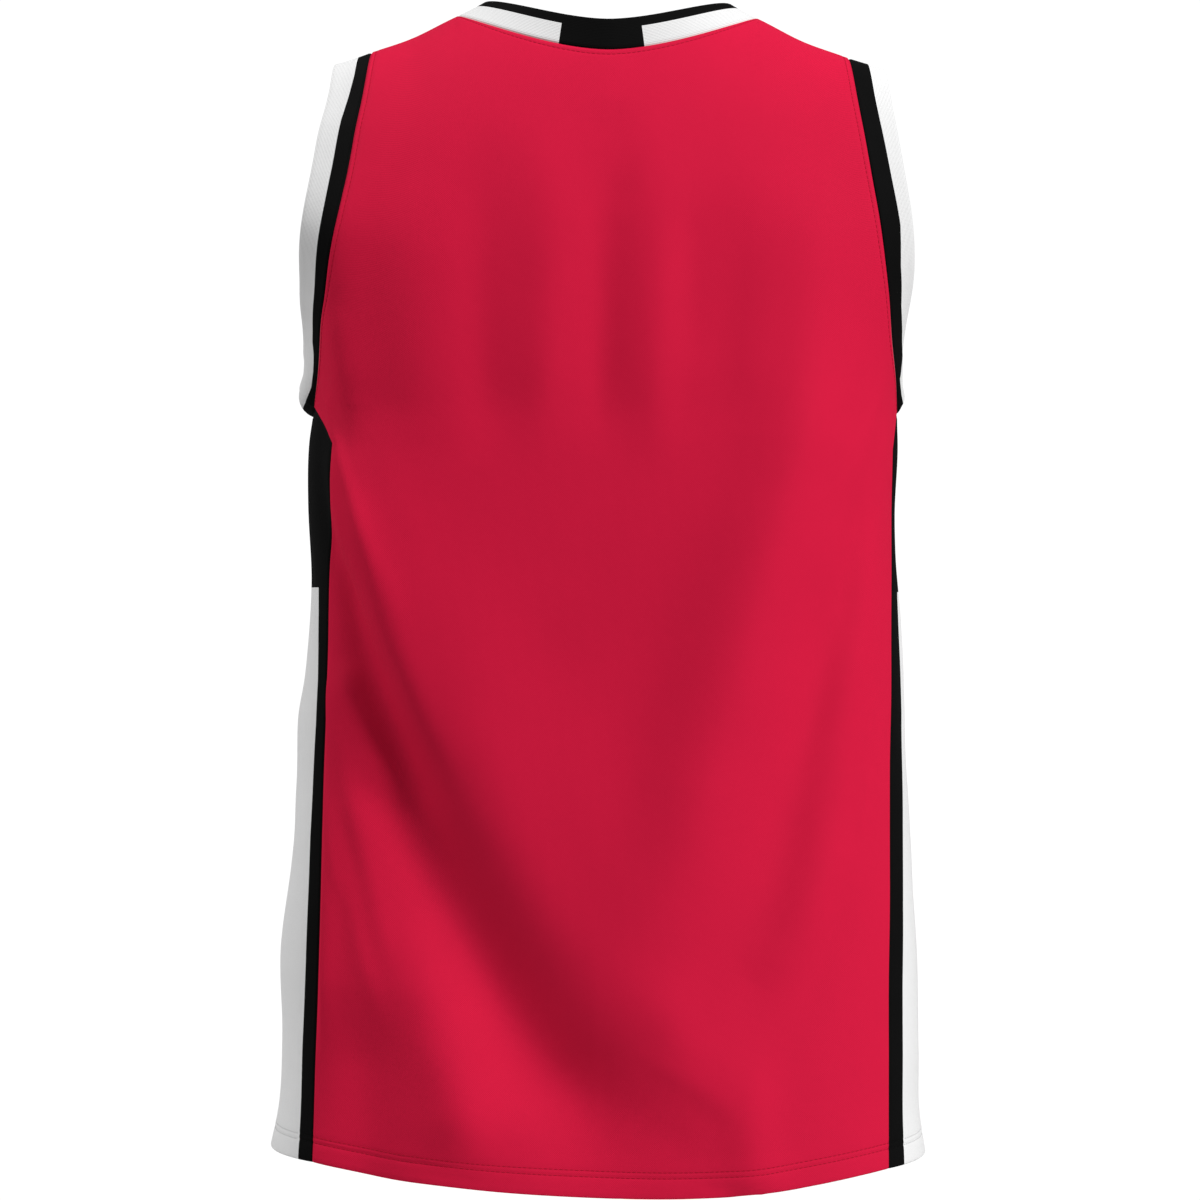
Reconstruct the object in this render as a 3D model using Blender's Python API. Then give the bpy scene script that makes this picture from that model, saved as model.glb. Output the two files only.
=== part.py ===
"""Basketball jersey: a sleeveless top in knitted cloth, hollow and filled out as it hangs when worn.

Metres, +Z up. The back faces +Y and the front -Y, and the wearer's left is at +X. The origin lies on the
shoulders, on the crest between the two shoulder seams' middles.

The garment is cut as a back, a front, two side panels, a rib band round each armhole and a neck band. Every
piece is a wall of cloth on one body form: rings stacked from the hem to the armpits, and above them arches
that close over the shoulders. Seams are lines on that form, and two neighbours stay GAP apart along them.
"""

import math
from collections import namedtuple

import bmesh
import bpy
import numpy as np

# ---- Cloth ----
PANEL_WALL = 0.0015
HEM_WALL = 0.0030  # turned up once and sewn, so double
HEM_DEPTH = 0.020
HEM_STEP = 0.0010  # over which the wall goes from single to double
RIB_WALL = 0.0020
GAP = 0.0003

# ---- Body form ----
ARMPIT = -0.265  # the rings end and the arches begin
ROUNDNESS = 2.8  # of a ring's superellipse: 2 is an ellipse, more is squarer
ARCH_TALL = 2.5  # how square an arch is towards the shoulder
Ring = namedtuple("Ring", "height left right back front")
RINGS = (
    Ring(-0.750, 0.2160, 0.2150, 0.1238, 0.132),
    Ring(-0.712, 0.2097, 0.2086, 0.1230, 0.130),
    Ring(-0.685, 0.2043, 0.2043, 0.1237, 0.127),
    Ring(-0.640, 0.2022, 0.2036, 0.1227, 0.125),
    Ring(-0.585, 0.2037, 0.2023, 0.1202, 0.122),
    Ring(-0.530, 0.1972, 0.1984, 0.1205, 0.120),
    Ring(-0.480, 0.1929, 0.1952, 0.1199, 0.119),
    Ring(-0.440, 0.1923, 0.1920, 0.1193, 0.119),
    Ring(-0.395, 0.1881, 0.1900, 0.1192, 0.120),
    Ring(-0.350, 0.1858, 0.1872, 0.1197, 0.122),
    Ring(-0.305, 0.1880, 0.1855, 0.1198, 0.124),
    Ring(-0.262, 0.1878, 0.1871, 0.1182, 0.125),
    Ring(-0.242, 0.1856, 0.1866, 0.1169, 0.125),
    Ring(-0.215, 0.1880, 0.1884, 0.1166, 0.124),
    Ring(-0.170, 0.1980, 0.1980, 0.1154, 0.121),
    Ring(-0.120, 0.2150, 0.2150, 0.1144, 0.117),
    Ring(-0.070, 0.2250, 0.2250, 0.1130, 0.113),
    Ring(0.040, 0.2300, 0.2300, 0.1129, 0.110),
)
CHEST_WIDE, CHEST_DEEP = 0.187, 0.121  # half sizes of the ring along which distances round the body are told
GIRTH_ANGLES = 721  # angles round half of it at which they are worked out
Crest = namedtuple("Crest", "out height")  # the line over the shoulders, from the middle outwards
CRESTS = (
    Crest(0.000, 0.0360),
    Crest(0.050, 0.0290),
    Crest(0.0963, 0.0113),
    Crest(0.125, -0.0030),
    Crest(0.152, -0.0125),
    Crest(0.190, -0.0270),
    Crest(0.230, -0.0450),
)

# ---- Hem ----
HEM_SIDE = -0.7100  # height of the hem at the side seams
SIDE_RISE = 0.0025  # how much higher it runs halfway between them
Hem = namedtuple("Hem", "out back front")  # its height, from the wearer's right (negative) to the left
HEMS = (
    Hem(-0.190, -0.7118, -0.7100),
    Hem(-0.165, -0.7157, -0.7129),
    Hem(-0.135, -0.7206, -0.7161),
    Hem(-0.100, -0.7256, -0.7190),
    Hem(-0.060, -0.7280, -0.7210),
    Hem(-0.020, -0.7284, -0.7219),
    Hem(0.020, -0.7273, -0.7219),
    Hem(0.060, -0.7251, -0.7210),
    Hem(0.100, -0.7217, -0.7190),
    Hem(0.135, -0.7185, -0.7161),
    Hem(0.165, -0.7139, -0.7129),
    Hem(0.190, -0.7098, -0.7100),
)

# ---- Neck ----
NECK_HALF = 0.0963  # from the middle to where the neck meets the shoulder seam
BACK_NECK = -0.0165  # height of the neck seam in the middle of the back
FRONT_NECK = -0.1050
BACK_SCOOP = 1.7  # power of the seam's curve
FRONT_SCOOP = 2.0

# ---- Side seams and armholes: distances from the middle, on the wearer's left and right ----
Seam = namedtuple("Seam", "height left right")
SIDE_SEAM = (
    Seam(-0.730, 0.1793, 0.1810),
    Seam(-0.690, 0.1784, 0.1811),
    Seam(-0.650, 0.1777, 0.1809),
    Seam(-0.600, 0.1759, 0.1806),
    Seam(-0.550, 0.1752, 0.1812),
    Seam(-0.500, 0.1752, 0.1810),
    Seam(-0.460, 0.1753, 0.1810),
    Seam(-0.420, 0.1746, 0.1818),
    Seam(-0.380, 0.1727, 0.1817),
    Seam(-0.340, 0.1696, 0.1819),
    Seam(-0.300, 0.1655, 0.1818),
    Seam(ARMPIT, 0.1661, 0.1821),
)
CORNER = -0.240  # the side panel's points, where its seams meet the armhole
POINT_OUT = 0.184
UNDERARM_DIP = {1: 0.0055, -1: 0.0010}  # how far its top edge sinks between them, at the left and right
BACK_ARMHOLE = (
    Seam(CORNER, 0.1839, 0.1856),
    Seam(-0.222, 0.1809, 0.1841),
    Seam(-0.197, 0.1775, 0.1806),
    Seam(-0.172, 0.1726, 0.1783),
    Seam(-0.147, 0.1694, 0.1748),
    Seam(-0.122, 0.1653, 0.1710),
    Seam(-0.097, 0.1616, 0.1665),
    Seam(-0.071, 0.1583, 0.1623),
    Seam(-0.045, 0.1540, 0.1581),
    Seam(-0.012, 0.1507, 0.1542),
)
FRONT_ARMHOLE = (
    Seam(CORNER, 0.1839, 0.1856),
    Seam(-0.222, 0.1760, 0.1775),
    Seam(-0.197, 0.1680, 0.1690),
    Seam(-0.172, 0.1610, 0.1620),
    Seam(-0.147, 0.1560, 0.1570),
    Seam(-0.122, 0.1525, 0.1535),
    Seam(-0.097, 0.1500, 0.1515),
    Seam(-0.071, 0.1490, 0.1505),
    Seam(-0.045, 0.1490, 0.1510),
    Seam(-0.012, 0.1507, 0.1542),
)

# ---- Rib bands: lean in degrees off the panel's own slope, outwards positive, near the seam and near the
# free edge ----
ARMHOLE_BAND = 0.025
NECK_BAND = 0.020
Lean = namedtuple("Lean", "height left_root left_edge right_root right_edge")
ARMHOLE_LEANS = (
    Lean(-0.250, 93.4, -25.5, 66.7, -48.3),
    Lean(-0.238, 55.1, -35.4, 35.0, -57.0),
    Lean(-0.222, 18.1, -2.5, 15.1, -31.4),
    Lean(-0.205, 4.9, 5.4, 0.1, -12.3),
    Lean(-0.180, 1.1, 7.4, -5.1, -1.4),
    Lean(-0.150, 0.9, 1.6, 2.3, 0.4),
    Lean(-0.110, -1.2, 1.1, 0.2, 0.5),
    Lean(-0.070, -2.0, 2.2, -3.8, -1.7),
    Lean(-0.030, -7.6, -0.1, -2.3, 1.5),
    Lean(0.000, 1.0, 7.4, 6.1, 10.3),
)
NECK_LEANS = (
    Lean(FRONT_NECK, 4.0, 4.0, 4.0, 4.0),
    Lean(BACK_NECK, 16.0, 20.0, 16.0, 20.0),
    Lean(0.0113, 0.0, 4.0, 0.0, 4.0),
)

# ---- Main folds: soft ridges (out, positive) and valleys along curves through three places. A place is
# (distance round the body from the middle, height), towards the wearer's left positive ----
Fold = namedtuple("Fold", "start middle end out width")
BACK_FOLDS = (
    # the long fold from the left underarm down to the right of the hem, and the deep valley under it
    Fold((0.205, -0.213), (0.049, -0.485), (-0.103, -0.721), 0.0086, 0.051),
    Fold((0.181, -0.319), (0.077, -0.572), (-0.043, -0.731), -0.0149, 0.037),
    Fold((-0.073, -0.618), (-0.085, -0.694), (-0.083, -0.730), 0.0044, 0.017),
    Fold((0.179, -0.250), (0.160, -0.329), (0.100, -0.463), 0.0051, 0.012),
    Fold((0.168, -0.252), (0.125, -0.392), (0.078, -0.496), 0.0035, 0.017),
    Fold((0.130, -0.375), (0.103, -0.460), (0.057, -0.522), 0.0014, 0.015),
    Fold((0.176, -0.385), (0.137, -0.521), (0.070, -0.610), 0.0012, 0.014),
    # smaller ones at the left of the hem
    Fold((0.122, -0.544), (0.084, -0.642), (0.082, -0.719), 0.0065, 0.022),
    Fold((0.137, -0.595), (0.135, -0.690), (0.121, -0.770), -0.0066, 0.023),
    # slack between and beside the shoulder blades
    Fold((0.134, -0.075), (0.165, -0.177), (0.156, -0.273), 0.0052, 0.022),
    Fold((0.091, -0.088), (0.117, -0.188), (0.107, -0.277), 0.0024, 0.023),
    Fold((0.058, -0.062), (0.072, -0.175), (0.072, -0.285), -0.0025, 0.015),
    Fold((0.027, -0.045), (0.034, -0.169), (0.043, -0.283), 0.0032, 0.015),
    Fold((0.000, -0.070), (0.001, -0.173), (0.004, -0.278), -0.0025, 0.012),
    Fold((-0.023, -0.036), (-0.029, -0.172), (-0.031, -0.289), 0.0031, 0.015),
    Fold((-0.059, -0.073), (-0.091, -0.173), (-0.079, -0.271), 0.0015, 0.016),
    Fold((-0.085, -0.071), (-0.121, -0.188), (-0.103, -0.301), 0.0047, 0.024),
    # from the right underarm down towards the middle, with smaller ones beyond
    Fold((-0.157, -0.180), (-0.080, -0.387), (-0.026, -0.601), 0.0123, 0.032),
    Fold((-0.145, -0.280), (-0.110, -0.371), (-0.080, -0.477), 0.0016, 0.020),
    Fold((-0.145, -0.318), (-0.129, -0.442), (-0.081, -0.577), -0.0049, 0.019),
    Fold((-0.173, -0.304), (-0.135, -0.482), (-0.104, -0.610), 0.0028, 0.018),
    Fold((-0.148, -0.490), (-0.118, -0.559), (-0.083, -0.598), 0.0017, 0.015),
    # the hollow of the back between the two long folds
    Fold((0.035, -0.343), (0.033, -0.458), (-0.005, -0.581), -0.0019, 0.026),
    Fold((0.076, -0.367), (0.042, -0.487), (-0.022, -0.597), -0.0020, 0.023),
    Fold((-0.031, -0.577), (-0.047, -0.641), (-0.079, -0.668), 0.0020, 0.016),
)
FRONT_FOLDS = (
    Fold((0.190, -0.250), (0.100, -0.420), (0.020, -0.640), 0.006, 0.034),
    Fold((-0.190, -0.270), (-0.120, -0.460), (-0.070, -0.700), 0.006, 0.032),
    Fold((0.150, -0.480), (0.110, -0.600), (0.100, -0.730), -0.006, 0.030),
    Fold((0.045, -0.180), (0.035, -0.280), (0.020, -0.400), 0.003, 0.024),
    Fold((-0.050, -0.170), (-0.045, -0.280), (-0.030, -0.380), 0.003, 0.024),
)
FOLD_TAPER = 0.30  # share of a fold's length over which it grows from each end
SEAM_CALM = 0.72  # share of an arch's height from which folds die away towards the shoulder

# ---- How finely the cloth is divided ----
ROWS_BELOW = 24
ROWS_ABOVE = 14
ROW_CROWDING = 1.25  # power that crowds them towards the armpits
POINT_ROWS = 2  # from the armpits' height up to the side panels' points
NECK_COLUMNS = 8
SHOULDER_COLUMNS = 7
SIDE_COLUMNS = 8
BAND_ROWS = 3
FOLD_STEPS = 14
EDGE_ROUNDS = 12  # of the search for where a row meets the panel's edge
NUDGE = 1e-4  # step of the differences that give a normal
SHARP = 40.0  # degrees between faces from which an edge is not smoothed

# ---- Colours: linear red, green, blue ----
RED = (0.64, 0.016, 0.055)
WHITE = (0.86, 0.86, 0.85)
BLACK = (0.010, 0.010, 0.011)


def column(table, name):
    """One named column of a table."""
    return np.array([getattr(row, name) for row in table])


def eased(keys, values, at):
    """Reads a table between its rows, along a smooth curve through them."""
    slopes = np.gradient(values, keys)
    i = np.clip(np.searchsorted(keys, at) - 1, 0, len(keys) - 2)
    span = keys[i + 1] - keys[i]
    t = np.clip((at - keys[i]) / span, 0, 1)
    rise = t * t * (3 - 2 * t)
    leave = t * (1 - t) ** 2 * span * slopes[i]
    arrive = -(t * t) * (1 - t) * span * slopes[i + 1]
    return values[i] + rise * (values[i + 1] - values[i]) + leave + arrive


def read(table, name, height):
    return eased(column(table, "height"), column(table, name), height)


def handed(table, height, hand, suffix=""):
    """A table's left column where hand is positive and its right column elsewhere."""
    return np.where(hand > 0, read(table, "left" + suffix, height), read(table, "right" + suffix, height))


def smooth(t):
    t = np.clip(t, 0, 1)
    return t * t * (3 - 2 * t)


def crest(x):
    return eased(column(CRESTS, "out"), column(CRESTS, "height"), np.abs(x))


def hem(x, side):
    """Height of the hem at x, on the back (side 1) or front (side -1)."""
    back, front = (eased(column(HEMS, "out"), column(HEMS, name), x) for name in ("back", "front"))
    return np.where(side > 0, back, front)


def depth(height, side):
    return np.where(side > 0, read(RINGS, "back", height), read(RINGS, "front", height))


def arch(x, height):
    """Share of the form's full depth at a height: 1 up to the armpits, 0 on the shoulder's crest."""
    share = np.clip((height - ARMPIT) / (crest(x) - ARMPIT), 0, 1)
    return np.sqrt(1 - share**ARCH_TALL)


def turn_at(x, height):
    """Angle round the ring from the side (0) towards the middle (a quarter turn) where the form is x wide."""
    share = np.clip(np.abs(x) / handed(RINGS, height, x), 0, 1)
    return np.arccos(share ** (ROUNDNESS / 2))


def girth_table():
    """Distances round a chest-high ring from the back's middle to each angle, up to the front's middle."""
    turns = np.linspace(math.pi / 2, -math.pi / 2, GIRTH_ANGLES)
    x = np.abs(np.cos(turns)) ** (2 / ROUNDNESS) * CHEST_WIDE
    y = np.sign(np.sin(turns)) * np.abs(np.sin(turns)) ** (2 / ROUNDNESS) * CHEST_DEEP
    steps = np.hypot(np.diff(x), np.diff(y))
    return turns, np.concatenate([[0], np.cumsum(steps)])


TURNS, GIRTHS = girth_table()


def curve_distance(fold, across, height):
    """Each place's distance from a fold's curve, and how far along the curve it lies, from 0 to 1."""
    start, middle, end = (np.array(p) for p in (fold.start, fold.middle, fold.end))
    bend = 2 * middle - (start + end) / 2
    t = np.linspace(0, 1, FOLD_STEPS + 1)[:, None]
    line = (1 - t) ** 2 * start + 2 * t * (1 - t) * bend + t**2 * end
    place = np.stack([across, height], axis=-1)
    nearest = np.full(across.shape, np.inf)
    along = np.zeros(across.shape)
    for i in range(FOLD_STEPS):
        run = line[i + 1] - line[i]
        share = np.clip(((place - line[i]) @ run) / (run @ run), 0, 1)
        away = np.linalg.norm(place - line[i] - share[..., None] * run, axis=-1)
        closer = away < nearest
        nearest = np.where(closer, away, nearest)
        along = np.where(closer, (i + share) / FOLD_STEPS, along)
    return nearest, along


def folds_at(place, turn):
    """How far the folds lift the cloth at a place on the smooth form, whose turn is negative on the front."""
    x, height = place[..., 0], place[..., 2]
    hand = np.where(x >= 0, 1, -1)
    girth = np.interp(-turn, -TURNS, GIRTHS)
    lift = np.zeros(np.shape(girth))
    for folds, across in ((BACK_FOLDS, hand * girth), (FRONT_FOLDS, hand * (GIRTHS[-1] - girth))):
        for fold in folds:
            away, along = curve_distance(fold, across, height)
            taper = smooth(np.minimum(along, 1 - along) / FOLD_TAPER)
            lift = lift + fold.out * np.exp(-((away / fold.width) ** 2)) * taper
    share = (height - ARMPIT) / (crest(x) - ARMPIT)
    return lift * (1 - smooth((share - SEAM_CALM) / (1 - SEAM_CALM)))


def panel_form(side, x, rise):
    """A place on the back (side 1) or front (side -1), and its turn. Rise is 0 at the hem, 1 at the armpits
    and 2 on the crest."""
    bottom = hem(x, side)
    lean = np.maximum(rise - 1, 0) * math.pi / 2
    below = bottom + (ARMPIT - bottom) * np.minimum(rise, 1)
    above = (crest(x) - ARMPIT) * np.abs(np.sin(lean)) ** (2 / ARCH_TALL)
    height = below + above
    turn = turn_at(x, height)
    wide = depth(height, side) * np.sin(turn) ** (2 / ROUNDNESS)
    y = side * (wide * np.cos(lean) + GAP / 2)
    return np.stack([x, y, height], axis=-1), side * turn


def flank_form(hand, turn, height):
    """A place on a side, and its turn: 0 at the side, positive to the back, negative to the front."""
    x = hand * handed(RINGS, height, hand) * np.cos(turn) ** (2 / ROUNDNESS)
    wide = depth(height, turn) * np.abs(np.sin(turn)) ** (2 / ROUNDNESS)
    y = np.sign(turn) * wide * arch(x, height)
    return np.stack([x, y, height], axis=-1), turn


def normals(points_at, u, v, facing):
    across = points_at(u + NUDGE, v) - points_at(u - NUDGE, v)
    along = points_at(u, v + NUDGE) - points_at(u, v - NUDGE)
    out = np.cross(along, across) * facing
    return out / np.linalg.norm(out, axis=-1, keepdims=True)


def cloth(form, u, v, facing):
    """Outer points of the folded cloth and the directions they face."""

    def folded(u, v):
        points, turn = form(u, v)
        return points + folds_at(points, turn)[..., None] * normals(lambda a, b: form(a, b)[0], u, v, facing)

    return folded(u, v), normals(folded, u, v, facing)


def seam_out(height, hand, side):
    """Distance of a panel's edge from the middle: side seam, side panel's point, then armhole."""
    armhole = BACK_ARMHOLE if side > 0 else FRONT_ARMHOLE
    lower, upper = (handed(t, np.array(h), hand) for t, h in ((SIDE_SEAM, ARMPIT), (armhole, CORNER)))
    slant = lower + (upper - lower) * (height - ARMPIT) / (CORNER - ARMPIT)
    edge = np.where(height < ARMPIT, handed(SIDE_SEAM, height, hand), slant)
    return np.where(height > CORNER, handed(armhole, height, hand), edge)


def edge_at(rise, hand, side):
    """Where a panel's edge lies in the row at that rise."""
    x = np.full(np.shape(rise), hand * POINT_OUT)
    for _ in range(EDGE_ROUNDS):
        x = hand * seam_out(panel_height(x, rise, side), hand, side)
    return x


def panel_height(x, rise, side):
    return panel_form(side, x, rise)[0][..., 2]


def rise_at(x, height):
    """The rise at which the arch over x reaches a height above the armpits."""
    share = np.clip((height - ARMPIT) / (crest(x) - ARMPIT), 0, 1)
    return 1 + np.arcsin(share ** (ARCH_TALL / 2)) * 2 / math.pi


def neck_height(x, side):
    low, power = (BACK_NECK, BACK_SCOOP) if side > 0 else (FRONT_NECK, FRONT_SCOOP)
    return low + (crest(NECK_HALF) - low) * (np.abs(x) / NECK_HALF) ** power


def panel_rises():
    """Rises of a panel's rows, close together at the hem's fold and even above it."""
    tall = ARMPIT - HEM_SIDE
    fold, step = HEM_DEPTH / tall, HEM_STEP / tall
    below = np.concatenate([[0, fold / 2, fold, fold + step], np.linspace(fold, 1, ROWS_BELOW + 1)[1:]])
    point = rise_at(POINT_OUT, np.linspace(ARMPIT, CORNER, POINT_ROWS + 1)[1:])
    first = (point[-1] - 1) ** (1 / ROW_CROWDING)
    above = 1 + np.linspace(first, 1, ROWS_ABOVE + 1)[1:] ** ROW_CROWDING
    return np.concatenate([below, point, above])


def panel_grid(side):
    """Distances from the middle and rises of a panel's points, row by row, from the wearer's right."""
    rises = panel_rises()
    even = np.arange(NECK_COLUMNS + 1) / NECK_COLUMNS
    round_the_neck = np.sin(even * math.pi / 2)
    halves = []
    for hand in (-1, 1):
        edge = edge_at(rises, hand, side) - hand * GAP / 2
        near_top = smooth(rises - 1)[:, None]
        inner = hand * NECK_HALF * (even + (round_the_neck - even) * near_top)
        height = panel_height(edge, rises, side)
        neck_turn = turn_at(np.full(rises.shape, hand * NECK_HALF), height)
        share = np.arange(1, SHOULDER_COLUMNS + 1) / SHOULDER_COLUMNS
        turns = neck_turn[:, None] + (turn_at(edge, height) - neck_turn)[:, None] * share
        wide = handed(RINGS, height, hand)[:, None]
        outer = hand * wide * np.cos(turns) ** (2 / ROUNDNESS)
        outer[:, -1] = edge
        top = rise_at(hand * NECK_HALF * round_the_neck, neck_height(NECK_HALF * round_the_neck, side))
        top[-1] = 2
        climb = np.clip(rises - 1, 0, 1)[:, None]
        inner_rise = np.minimum(rises, 1)[:, None] + climb * (top - 1)
        outer_rise = np.repeat(rises[:, None], SHOULDER_COLUMNS, axis=1)
        halves.append((np.hstack([inner, outer]), np.hstack([inner_rise, outer_rise])))
    (right_x, right_rise), (left_x, left_rise) = halves
    x = np.hstack([right_x[:, :0:-1], left_x])
    rise = np.hstack([right_rise[:, :0:-1], left_rise])
    return x, rise


def edge_turn(hand, side, height):
    """Angle of the side seam at a height, drawn in by half the gap."""
    turn = turn_at(hand * seam_out(height, hand, side), height)
    return side * (turn - GAP / 2 / CHEST_DEEP)


def side_grid(hand):
    """Turns and heights of a side panel's points, row by row, from the front seam to the back seam."""
    rises = panel_rises()
    low = rises[rises <= 1]
    front, back = (panel_height(edge_at(low, hand, side), low, side) for side in (-1, 1))
    steps = np.arange(1, POINT_ROWS + 1) / POINT_ROWS
    level = ARMPIT + (CORNER - ARMPIT) * steps
    front, back = np.concatenate([front, level]), np.concatenate([back, level])
    front_turn, back_turn = edge_turn(hand, -1, front), edge_turn(hand, 1, back)
    share = np.linspace(0, 1, SIDE_COLUMNS + 1)
    lift = np.concatenate([SIDE_RISE * (1 - low) ** 2, -UNDERARM_DIP[hand] * steps])
    turn = front_turn[:, None] + (back_turn - front_turn)[:, None] * share
    height = front[:, None] + (back - front)[:, None] * share + lift[:, None] * np.sin(share * math.pi)
    return turn, height


def wall(outer, facing, thickness):
    """Vertices and faces of a closed wall: an outer grid, the same drawn in along its normals, and a rim."""
    inner = outer - facing * thickness
    rows, cols = outer.shape[:2]
    points = np.concatenate([outer.reshape(-1, 3), inner.reshape(-1, 3)])
    index = np.arange(rows * cols).reshape(rows, cols)
    back = index + rows * cols
    faces = []
    for grid, turned in ((index, False), (back, True)):
        corners = np.stack([grid[:-1, :-1], grid[:-1, 1:], grid[1:, 1:], grid[1:, :-1]], axis=-1)
        faces += [tuple(f[::-1]) if turned else tuple(f) for f in corners.reshape(-1, 4).tolist()]
    rim = np.concatenate([index[0, :-1], index[:-1, -1], index[-1, :0:-1], index[:0:-1, 0]]).tolist()
    deep = rows * cols
    for a, b in zip(rim, rim[1:] + rim[:1], strict=True):
        faces.append((b, a, a + deep, b + deep))
    return points, faces


def ring_wall(outer, facing, thickness):
    """The same for a closed band: rows run across its width and columns all round it."""
    inner = outer - facing * thickness
    loop = np.concatenate([outer, inner[::-1]])
    rows, cols = loop.shape[:2]
    index = np.arange(rows * cols).reshape(rows, cols)
    a, b = index, np.roll(index, -1, axis=1)
    faces = []
    for r in range(rows):
        n = (r + 1) % rows
        faces += [tuple(f) for f in np.stack([a[r], b[r], b[n], a[n]], axis=-1).tolist()]
    return loop.reshape(-1, 3), faces


def make_object(name, points, faces, colour, collection):
    """A mesh object with its faces outward and a cloth material of its own."""
    mesh = bpy.data.meshes.new(name)
    build = bmesh.new()
    verts = [build.verts.new(p) for p in points]
    for face in faces:
        build.faces.new([verts[i] for i in face])
    if build.calc_volume(signed=True) < 0:
        bmesh.ops.reverse_faces(build, faces=build.faces)
    build.to_mesh(mesh)
    build.free()
    mesh.shade_smooth()
    mesh.set_sharp_from_angle(angle=math.radians(SHARP))
    material = bpy.data.materials.new(name + "_cloth")
    material.use_nodes = True
    shader = material.node_tree.nodes["Principled BSDF"]
    shader.inputs["Base Color"].default_value = (*colour, 1)
    shader.inputs["Roughness"].default_value = 0.75
    shader.inputs["Metallic"].default_value = 0
    mesh.materials.append(material)
    thing = bpy.data.objects.new(name, mesh)
    collection.objects.link(thing)
    return thing


def panel_cloth(side):
    x, rise = panel_grid(side)
    return cloth(lambda a, b: panel_form(side, a, b), x, rise, side)


def panel_wall(outer, facing, rises):
    """A panel's wall, double along the hem."""
    tall = ARMPIT - HEM_SIDE
    hemmed = rises * tall <= HEM_DEPTH + HEM_STEP / 2  # compares lengths up the cloth
    thickness = np.where(hemmed, HEM_WALL, PANEL_WALL)[:, None, None]
    return wall(outer, facing, thickness)


def side_cloth(hand):
    turn, height = side_grid(hand)
    return cloth(lambda a, b: flank_form(hand, a, b), turn, height, -hand)


def armhole_seam(hand):
    """Points and normals once round an armhole: down the back, under the arm, up the front."""
    rises = panel_rises()[-ROWS_ABOVE - 1 :]
    points, facing = [], []
    for side in (1, -1):
        edge = edge_at(rises, hand, side)
        p, n = cloth(lambda a, b, side=side: panel_form(side, a, b), edge, rises, side)
        points.append(p)
        facing.append(n)
    share = np.linspace(0, 1, SIDE_COLUMNS + 1)[1:-1]
    ends = [edge_turn(hand, side, np.array(CORNER)) for side in (1, -1)]
    turn = ends[0] + (ends[1] - ends[0]) * share
    height = CORNER - UNDERARM_DIP[hand] * np.sin(share * math.pi)
    p, n = cloth(lambda a, b: flank_form(hand, a, b), turn, height, -hand)
    round_points = np.concatenate([points[0][::-1], p, points[1][:-1]])
    round_facing = np.concatenate([facing[0][::-1], n, facing[1][:-1]])
    return round_points, round_facing


def neck_seam():
    """Points and normals once round the neck: across the back from the right, the front from the left."""
    points, facing = [], []
    for side in (1, -1):
        x, rise = panel_grid(side)
        keep = slice(SHOULDER_COLUMNS, -SHOULDER_COLUMNS)
        p, n = cloth(lambda a, b, side=side: panel_form(side, a, b), x[-1:, keep], rise[-1:, keep], side)
        points.append(p[0])
        facing.append(n[0])
    return (
        np.concatenate([points[0], points[1][-2:0:-1]]),
        np.concatenate([facing[0], facing[1][-2:0:-1]]),
    )


def even_out(vectors, times):
    """Averages each vector with its neighbours round a loop, then makes it a unit vector again."""
    for _ in range(times):
        vectors = (np.roll(vectors, 1, axis=0) + 2 * vectors + np.roll(vectors, -1, axis=0)) / 4
    return vectors / np.linalg.norm(vectors, axis=-1, keepdims=True)


def band(seam, facing, width, roots, edges, hand, calm):
    """Outer points and normals of a band that leaves a seam along the cloth and leans as it goes."""
    tangent = np.roll(seam, -1, axis=0) - np.roll(seam, 1, axis=0)
    out = np.cross(tangent, facing) * hand
    out = even_out(out / np.linalg.norm(out, axis=-1, keepdims=True), calm)
    facing = even_out(facing, calm)
    facing -= (facing * out).sum(axis=-1, keepdims=True) * out
    facing /= np.linalg.norm(facing, axis=-1, keepdims=True)
    place = seam + out * GAP
    points, directions = [place], [facing]
    for row in range(1, BAND_ROWS + 1):
        share = (row - 0.5) / BAND_ROWS
        lean = np.radians(roots + (edges - roots) * share)[:, None]
        place = place + (np.cos(lean) * out + np.sin(lean) * facing) * width / BAND_ROWS
        points.append(place)
        directions.append(np.cos(lean) * facing - np.sin(lean) * out)
    return np.array(points), np.array(directions)


def armhole_band(hand):
    seam, facing = armhole_seam(hand)
    hands = np.full(len(seam), hand)
    roots = handed(ARMHOLE_LEANS, seam[:, 2], hands, "_root")
    edges = handed(ARMHOLE_LEANS, seam[:, 2], hands, "_edge")
    return band(seam, facing, ARMHOLE_BAND, roots, edges, hand, 3)


def neck_band():
    seam, facing = neck_seam()
    roots = read(NECK_LEANS, "left_root", seam[:, 2])
    edges = read(NECK_LEANS, "left_edge", seam[:, 2])
    return band(seam, facing, NECK_BAND, roots, edges, 1, 1)


def main():
    for thing in list(bpy.data.objects):
        bpy.data.objects.remove(thing, do_unlink=True)
    jersey = bpy.data.collections.new("basketball_jersey")
    bpy.context.scene.collection.children.link(jersey)
    rises = panel_rises()
    for name, side in (("back", 1), ("front", -1)):
        make_object(name, *panel_wall(*panel_cloth(side), rises), RED, jersey)
    for name, hand in (("left", 1), ("right", -1)):
        outer, facing = side_cloth(hand)
        low = rises[rises <= 1]
        side_rises = np.concatenate([low, np.full(len(outer) - len(low), 1.0)])
        make_object("side_" + name, *panel_wall(outer, facing, side_rises), WHITE, jersey)
        make_object("armhole_band_" + name, *ring_wall(*armhole_band(hand), RIB_WALL), BLACK, jersey)
    make_object("neck_band", *ring_wall(*neck_band(), RIB_WALL), WHITE, jersey)


if __name__ == "__main__":
    main()
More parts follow.
